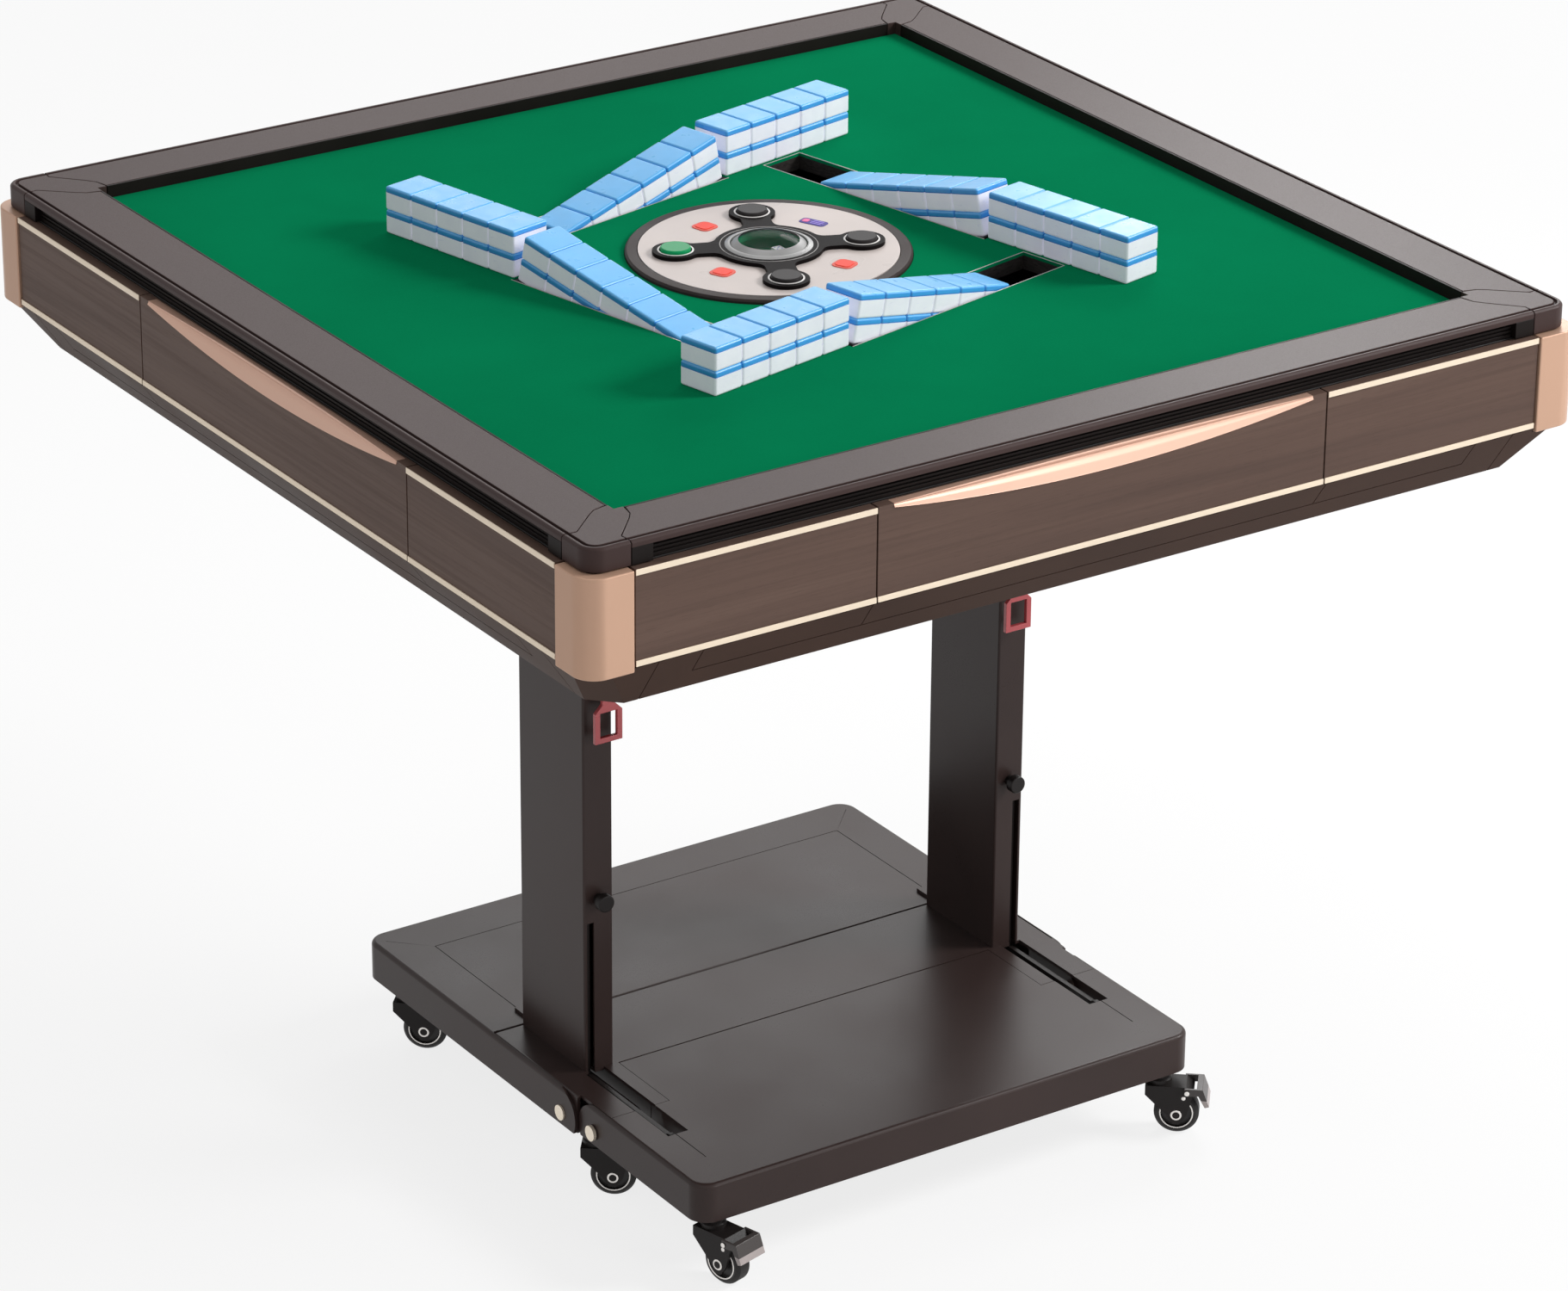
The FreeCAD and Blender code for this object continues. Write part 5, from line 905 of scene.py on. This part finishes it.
def add_tile(bm, middle, up, across, along):
    """One tile: a rounded block, blue above a fine seam and white below."""
    size = Vector((across.length, along.length, up.length))
    turn = Matrix((across.normalized(), along.normalized(), up.normalized())).transposed()
    part = bmesh.new()
    bmesh.ops.create_cube(part, size=1.0)
    bmesh.ops.scale(part, vec=size, verts=part.verts)
    bmesh.ops.bevel(part, geom=part.edges[:], offset=TILE_ROUND, segments=3, profile=0.5, affect="EDGES")
    seam = size.z / 2 - TILE_BACK
    for level in (seam - TILE_GROOVE, seam, seam + TILE_GROOVE):
        sliced(part, level)
    for vert in part.verts:
        if abs(vert.co.z - seam) < 1e-6:
            vert.co.x *= 1 - 2 * TILE_GROOVE / size.x
            vert.co.y *= 1 - 2 * TILE_GROOVE / size.y
    part.normal_update()
    for face in part.faces:
        height = face.calc_center_median().z
        if height > seam + TILE_GROOVE:
            # Upward faces get the top's blue; the sides get its darker copy, which is painted shade.
            face.material_index = 1 if face.normal.z > 0.4 else 2
        elif height > seam - TILE_GROOVE:
            face.material_index = 3
    if turn.determinant() < 0:
        bmesh.ops.reverse_faces(part, faces=part.faces)
    bmesh.ops.transform(part, matrix=Matrix.Translation(middle) @ turn.to_4x4(), verts=part.verts)
    absorb(bm, part)


def tiles():
    """The tiles on the mat and on the ramps, and the ramps."""
    looks = ("tile_white", "tile_blue", "tile_blue_shaded", "tile_seam")
    for node in ["tiles_on_mat"] + [f"ramp_tiles_{side}" for side in SIDES]:
        bm = bmesh.new()
        for tile in tile_frames(node):
            add_tile(bm, *tile)
        new_piece(f"{node}_finished", bm, looks, BODY_OF[node], "tile", (node,))
    for side in SIDES:
        dressed(f"tile_ramp_{side}", "black", 0.4, 2)


# ---- stand ---------------------------------------------------------------------------------------

SKIRT_ROUND = 2.0 * MM
WEB_PLACE = 198.5 * MM
WEB_SIZE = (1.5 * MM, 23.0 * MM)
WEB_ROUND = 0.6 * MM
WEB_HEIGHT = 32.0 * MM


def skirted(part):
    """Turns a pressed plate's top down into its skirt with a wider radius."""
    round_edges(part, SKIRT_ROUND, 3, top_rim)


def stand():
    """The floor frame with its front wing, columns, pins, links and latches."""
    dressed("rear_tray", "stand", 0.6, 2, before=skirted)
    dressed("mid_box", "stand", 0.6, 2, before=skirted)
    dressed("columns", "stand", 0.6, 2)
    dressed("column_fittings", "caster", 0.4, 2)
    dressed("pivot_pins", "pin", 0.8, 3)
    dressed("front_wing", "stand", 0.6, 2, before=skirted)
    dressed("fold_links", "link", 0.5, 2)
    for side in ("left", "right"):
        dressed(f"latch_{side}", "latch", 0.8, 3)


def ear_webs():
    """The sheet webs under the fixed ears, which close the view through the wing's link slots."""
    bm = bmesh.new()
    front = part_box("mid_box")[0]
    for way in (-1, 1):
        place = Matrix.Translation((way * WEB_PLACE, front.y + WEB_SIZE[1] / 2 + MM, front.z + MM))
        plate(bm, place, WEB_SIZE, WEB_ROUND, WEB_HEIGHT)
    new_piece("ear_webs", bm, ("stand",), BODY_OF["mid_box"], SLOT_OF["mid_box"])


# ---- casters -------------------------------------------------------------------------------------

TREAD_INNER = 16.4 * MM
WHEEL_HALF = 8.5 * MM
FORK_HALF = 12.5 * MM
WHEEL_RING = (13.7 * MM, 14.9 * MM)
WHEEL_RING_RISE = 0.35 * MM
WASHER = (3.1 * MM, 4.9 * MM)
WASHER_RISE = 0.6 * MM
FORK_RIVET = (1.9 * MM, 0.9 * MM)      # radius and rise
FORK_RIVET_TRAIL = 6.0 * MM
FORK_RIVET_UP = 17.0 * MM
PEDAL_RIVET = (2.2 * MM, 0.8 * MM)
PEDAL_RIVET_END = 16.0 * MM
TOE_HEIGHT = 7.0 * MM


def joint_of(body):
    """The joint that carries a body."""
    return next(joint for joint in frame["joints"] if joint["child"] == body)


def wheel_paint(centre, axis):
    """Rubber on the tread, moulded plastic inside it."""
    def paint(face, solid):
        arm = face.calc_center_median() - centre
        return int((arm - axis * arm.dot(axis)).length < TREAD_INNER)
    return paint


def casters():
    """Six forks and wheels with their trim, and the brake pedals of the front two."""
    for name in CASTERS:
        roll = joint_of(f"wheel_{name}")
        centre = Vector(roll["pos_m"])
        axis = Vector(roll["axis"])
        dressed(f"caster_fork_{name}", "caster", 0.5, 2)
        dressed(f"caster_wheel_{name}", ("rubber", "hub"), 0.4, 2, wheel_paint(centre, axis))
        caster_trim(name, centre, axis)
        if name.startswith("front"):
            pedal = f"brake_pedal_{name}"
            dressed(pedal, ("pedal", "pedal_toe"), 0.5, 2, toe_paint(pedal), before=toe_cut(pedal))


def toe_cut(node):
    """Cuts a pedal's faces along the top of its bare metal toe."""
    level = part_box(node)[0].z + TOE_HEIGHT
    return lambda part: sliced(part, level)


def toe_paint(node):
    """Bare metal below the cut, and paint above it."""
    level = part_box(node)[0].z + TOE_HEIGHT
    return lambda face, solid: int(face.calc_center_median().z < level)


def caster_trim(name, centre, axis):
    """The pale ring on each face of a wheel, and the fork's axle washers and rivets."""
    rim = bmesh.new()
    fittings = bmesh.new()
    trail = centre - Vector(joint_of(f"fork_{name}")["pos_m"])
    trail.z = 0
    trail.normalize()
    upper = centre + trail * FORK_RIVET_TRAIL + Vector((0, 0, FORK_RIVET_UP))
    for way in (-1, 1):
        out = axis * way
        face = facing(centre, out)
        flat_ring(rim, *WHEEL_RING, WHEEL_HALF - SEATING, WHEEL_HALF + WHEEL_RING_RISE, face)
        flat_ring(fittings, *WASHER, FORK_HALF - SEATING, FORK_HALF + WASHER_RISE, face, 40)
        rivet(fittings, *FORK_RIVET, facing(upper + out * FORK_HALF, out))
        if name.startswith("front"):
            pin = Vector(joint_of(f"pedal_{name}")["pos_m"])
            rivet(fittings, *PEDAL_RIVET, facing(pin + out * PEDAL_RIVET_END, out))
    new_piece(f"wheel_ring_{name}", rim, ("bright",), f"wheel_{name}", "wheel")
    new_piece(f"fork_rivets_{name}", fittings, ("bright",), f"fork_{name}", "steel")


# ---- studio --------------------------------------------------------------------------------------

CAMERA_PLACE = Vector((-2.6605, -3.9992, 2.6003))
CAMERA_TURN = math.radians(-33.82)
CAMERA_PITCH = math.radians(24.43)
CAMERA_ROLL = math.radians(0.48)
CAMERA_LENS = 139.28
SENSOR_WIDTH = 36
SKY_STRENGTH = 0.35         # the soft light that falls on the object
SEEN_STRENGTH = 1.0         # a strength of 1 is white
FLOOR_COLOUR = (0.94, 0.94, 0.94)
FLOOR_GLOW = 0.8            # how much of the floor is plain white where it is seen
FLOOR_REACH = 12


def camera():
    """The photographer's place: the view direction from its turn and pitch, with a slight roll."""
    right = Vector((math.cos(CAMERA_TURN), math.sin(CAMERA_TURN), 0))
    back = Vector((math.sin(CAMERA_TURN) * math.cos(CAMERA_PITCH),
                   -math.cos(CAMERA_TURN) * math.cos(CAMERA_PITCH), math.sin(CAMERA_PITCH)))
    up = back.cross(right)
    rolled_right = right * math.cos(CAMERA_ROLL) + up * math.sin(CAMERA_ROLL)
    rolled_up = up * math.cos(CAMERA_ROLL) - right * math.sin(CAMERA_ROLL)
    lens = bpy.data.cameras.new("view")
    lens.lens = CAMERA_LENS
    lens.sensor_width = SENSOR_WIDTH
    lens.sensor_fit = "HORIZONTAL"
    lens.clip_end = 100
    view = placed("view", lens)
    turn = Matrix((rolled_right, rolled_up, back)).transposed()
    view.matrix_world = Matrix.Translation(CAMERA_PLACE) @ turn.to_4x4()
    bpy.context.scene.camera = view


def seen_rays(tree):
    """1 for rays that show the background: straight to the camera, or by way of gloss or glass."""
    path = tree.nodes.new("ShaderNodeLightPath")
    total = path.outputs["Is Camera Ray"]
    for name in ("Is Glossy Ray", "Is Transmission Ray"):
        highest = tree.nodes.new("ShaderNodeMath")
        highest.operation = "MAXIMUM"
        tree.links.new(total, highest.inputs[0])
        tree.links.new(path.outputs[name], highest.inputs[1])
        total = highest.outputs[0]
    return total


def white(tree, kind, strength):
    """The output of a white background or emission node."""
    node = tree.nodes.new(kind)
    node.inputs["Color"].default_value = (1, 1, 1, 1)
    node.inputs["Strength"].default_value = strength
    return node.outputs[0]


def blended(tree, share, first, second, surface):
    """Sends a blend of two shaders to a surface socket."""
    mix = tree.nodes.new("ShaderNodeMixShader")
    for socket, output in zip(mix.inputs, (share, first, second)):
        tree.links.new(output, socket)
    tree.links.new(mix.outputs[0], surface)


def world():
    """White where it is seen, and a plain grey sky for the soft light."""
    made = bpy.data.worlds.new("studio")
    made.use_nodes = True
    tree = made.node_tree
    tree.nodes.clear()
    soft = white(tree, "ShaderNodeBackground", SKY_STRENGTH)
    seen = white(tree, "ShaderNodeBackground", SEEN_STRENGTH)
    out = tree.nodes.new("ShaderNodeOutputWorld")
    blended(tree, seen_rays(tree), soft, seen, out.inputs["Surface"])
    bpy.context.scene.world = made


def floor():
    """A plain pale floor that keeps the object's soft shadow."""
    made = Finish("studio_floor", FLOOR_COLOUR, 0.9, Specular_IOR_Level=0.05)
    tree = made.tree
    glow = white(tree, "ShaderNodeEmission", SEEN_STRENGTH)
    share = made.add("Math", {0: seen_rays(tree), 1: FLOOR_GLOW}, operation="MULTIPLY")[0]
    blended(tree, share, made.shader.outputs[0], glow, tree.nodes["Material Output"].inputs["Surface"])
    mesh = bpy.data.meshes.new("floor")
    corners = [(x * FLOOR_REACH, y * FLOOR_REACH, 0) for x, y in ((-1, -1), (1, -1), (1, 1), (-1, 1))]
    mesh.from_pydata(corners, [], [(0, 1, 2, 3)])
    mesh.materials.append(made.material)
    placed("floor", mesh)


def lamp(name, place, aim, size, power):
    """A white round area lamp, aimed at a point."""
    data = bpy.data.lights.new(name, "AREA")
    data.shape = "DISK"
    data.size = size
    data.energy = power
    item = placed(name, data)
    item.location = place
    item.rotation_mode = "QUATERNION"
    item.rotation_quaternion = (Vector(place) - Vector(aim)).to_track_quat("Z", "Y")


def lights():
    """One key lamp from the right, and weaker ones that open the shadows."""
    aim = (0, 0, 0.6)
    lamp("key", (4.8, -2.7, 4.1), aim, 2.2, 305)
    lamp("front", (1.5, -4.5, 1.6), aim, 2.0, 42)
    lamp("fill", (-3.4, -3.0, 2.4), aim, 2.4, 6)
    lamp("top", (-0.4, 0.8, 4.2), aim, 2.6, 20)
    lamp("back", (2.6, 3.9, 3.2), aim, 2.8, 30)
    lamp("side", (1.5, 1.0, 1.65), (0.3, -0.2, 0.78), 0.8, 9)


machine_body()
slot_rims()
drawers()
console()
console_rings()
console_keys()
dice_pips()
tiles()
stand()
ear_webs()
casters()
camera()
world()
floor()
lights()
bpy.context.scene.view_settings.view_transform = "Standard"
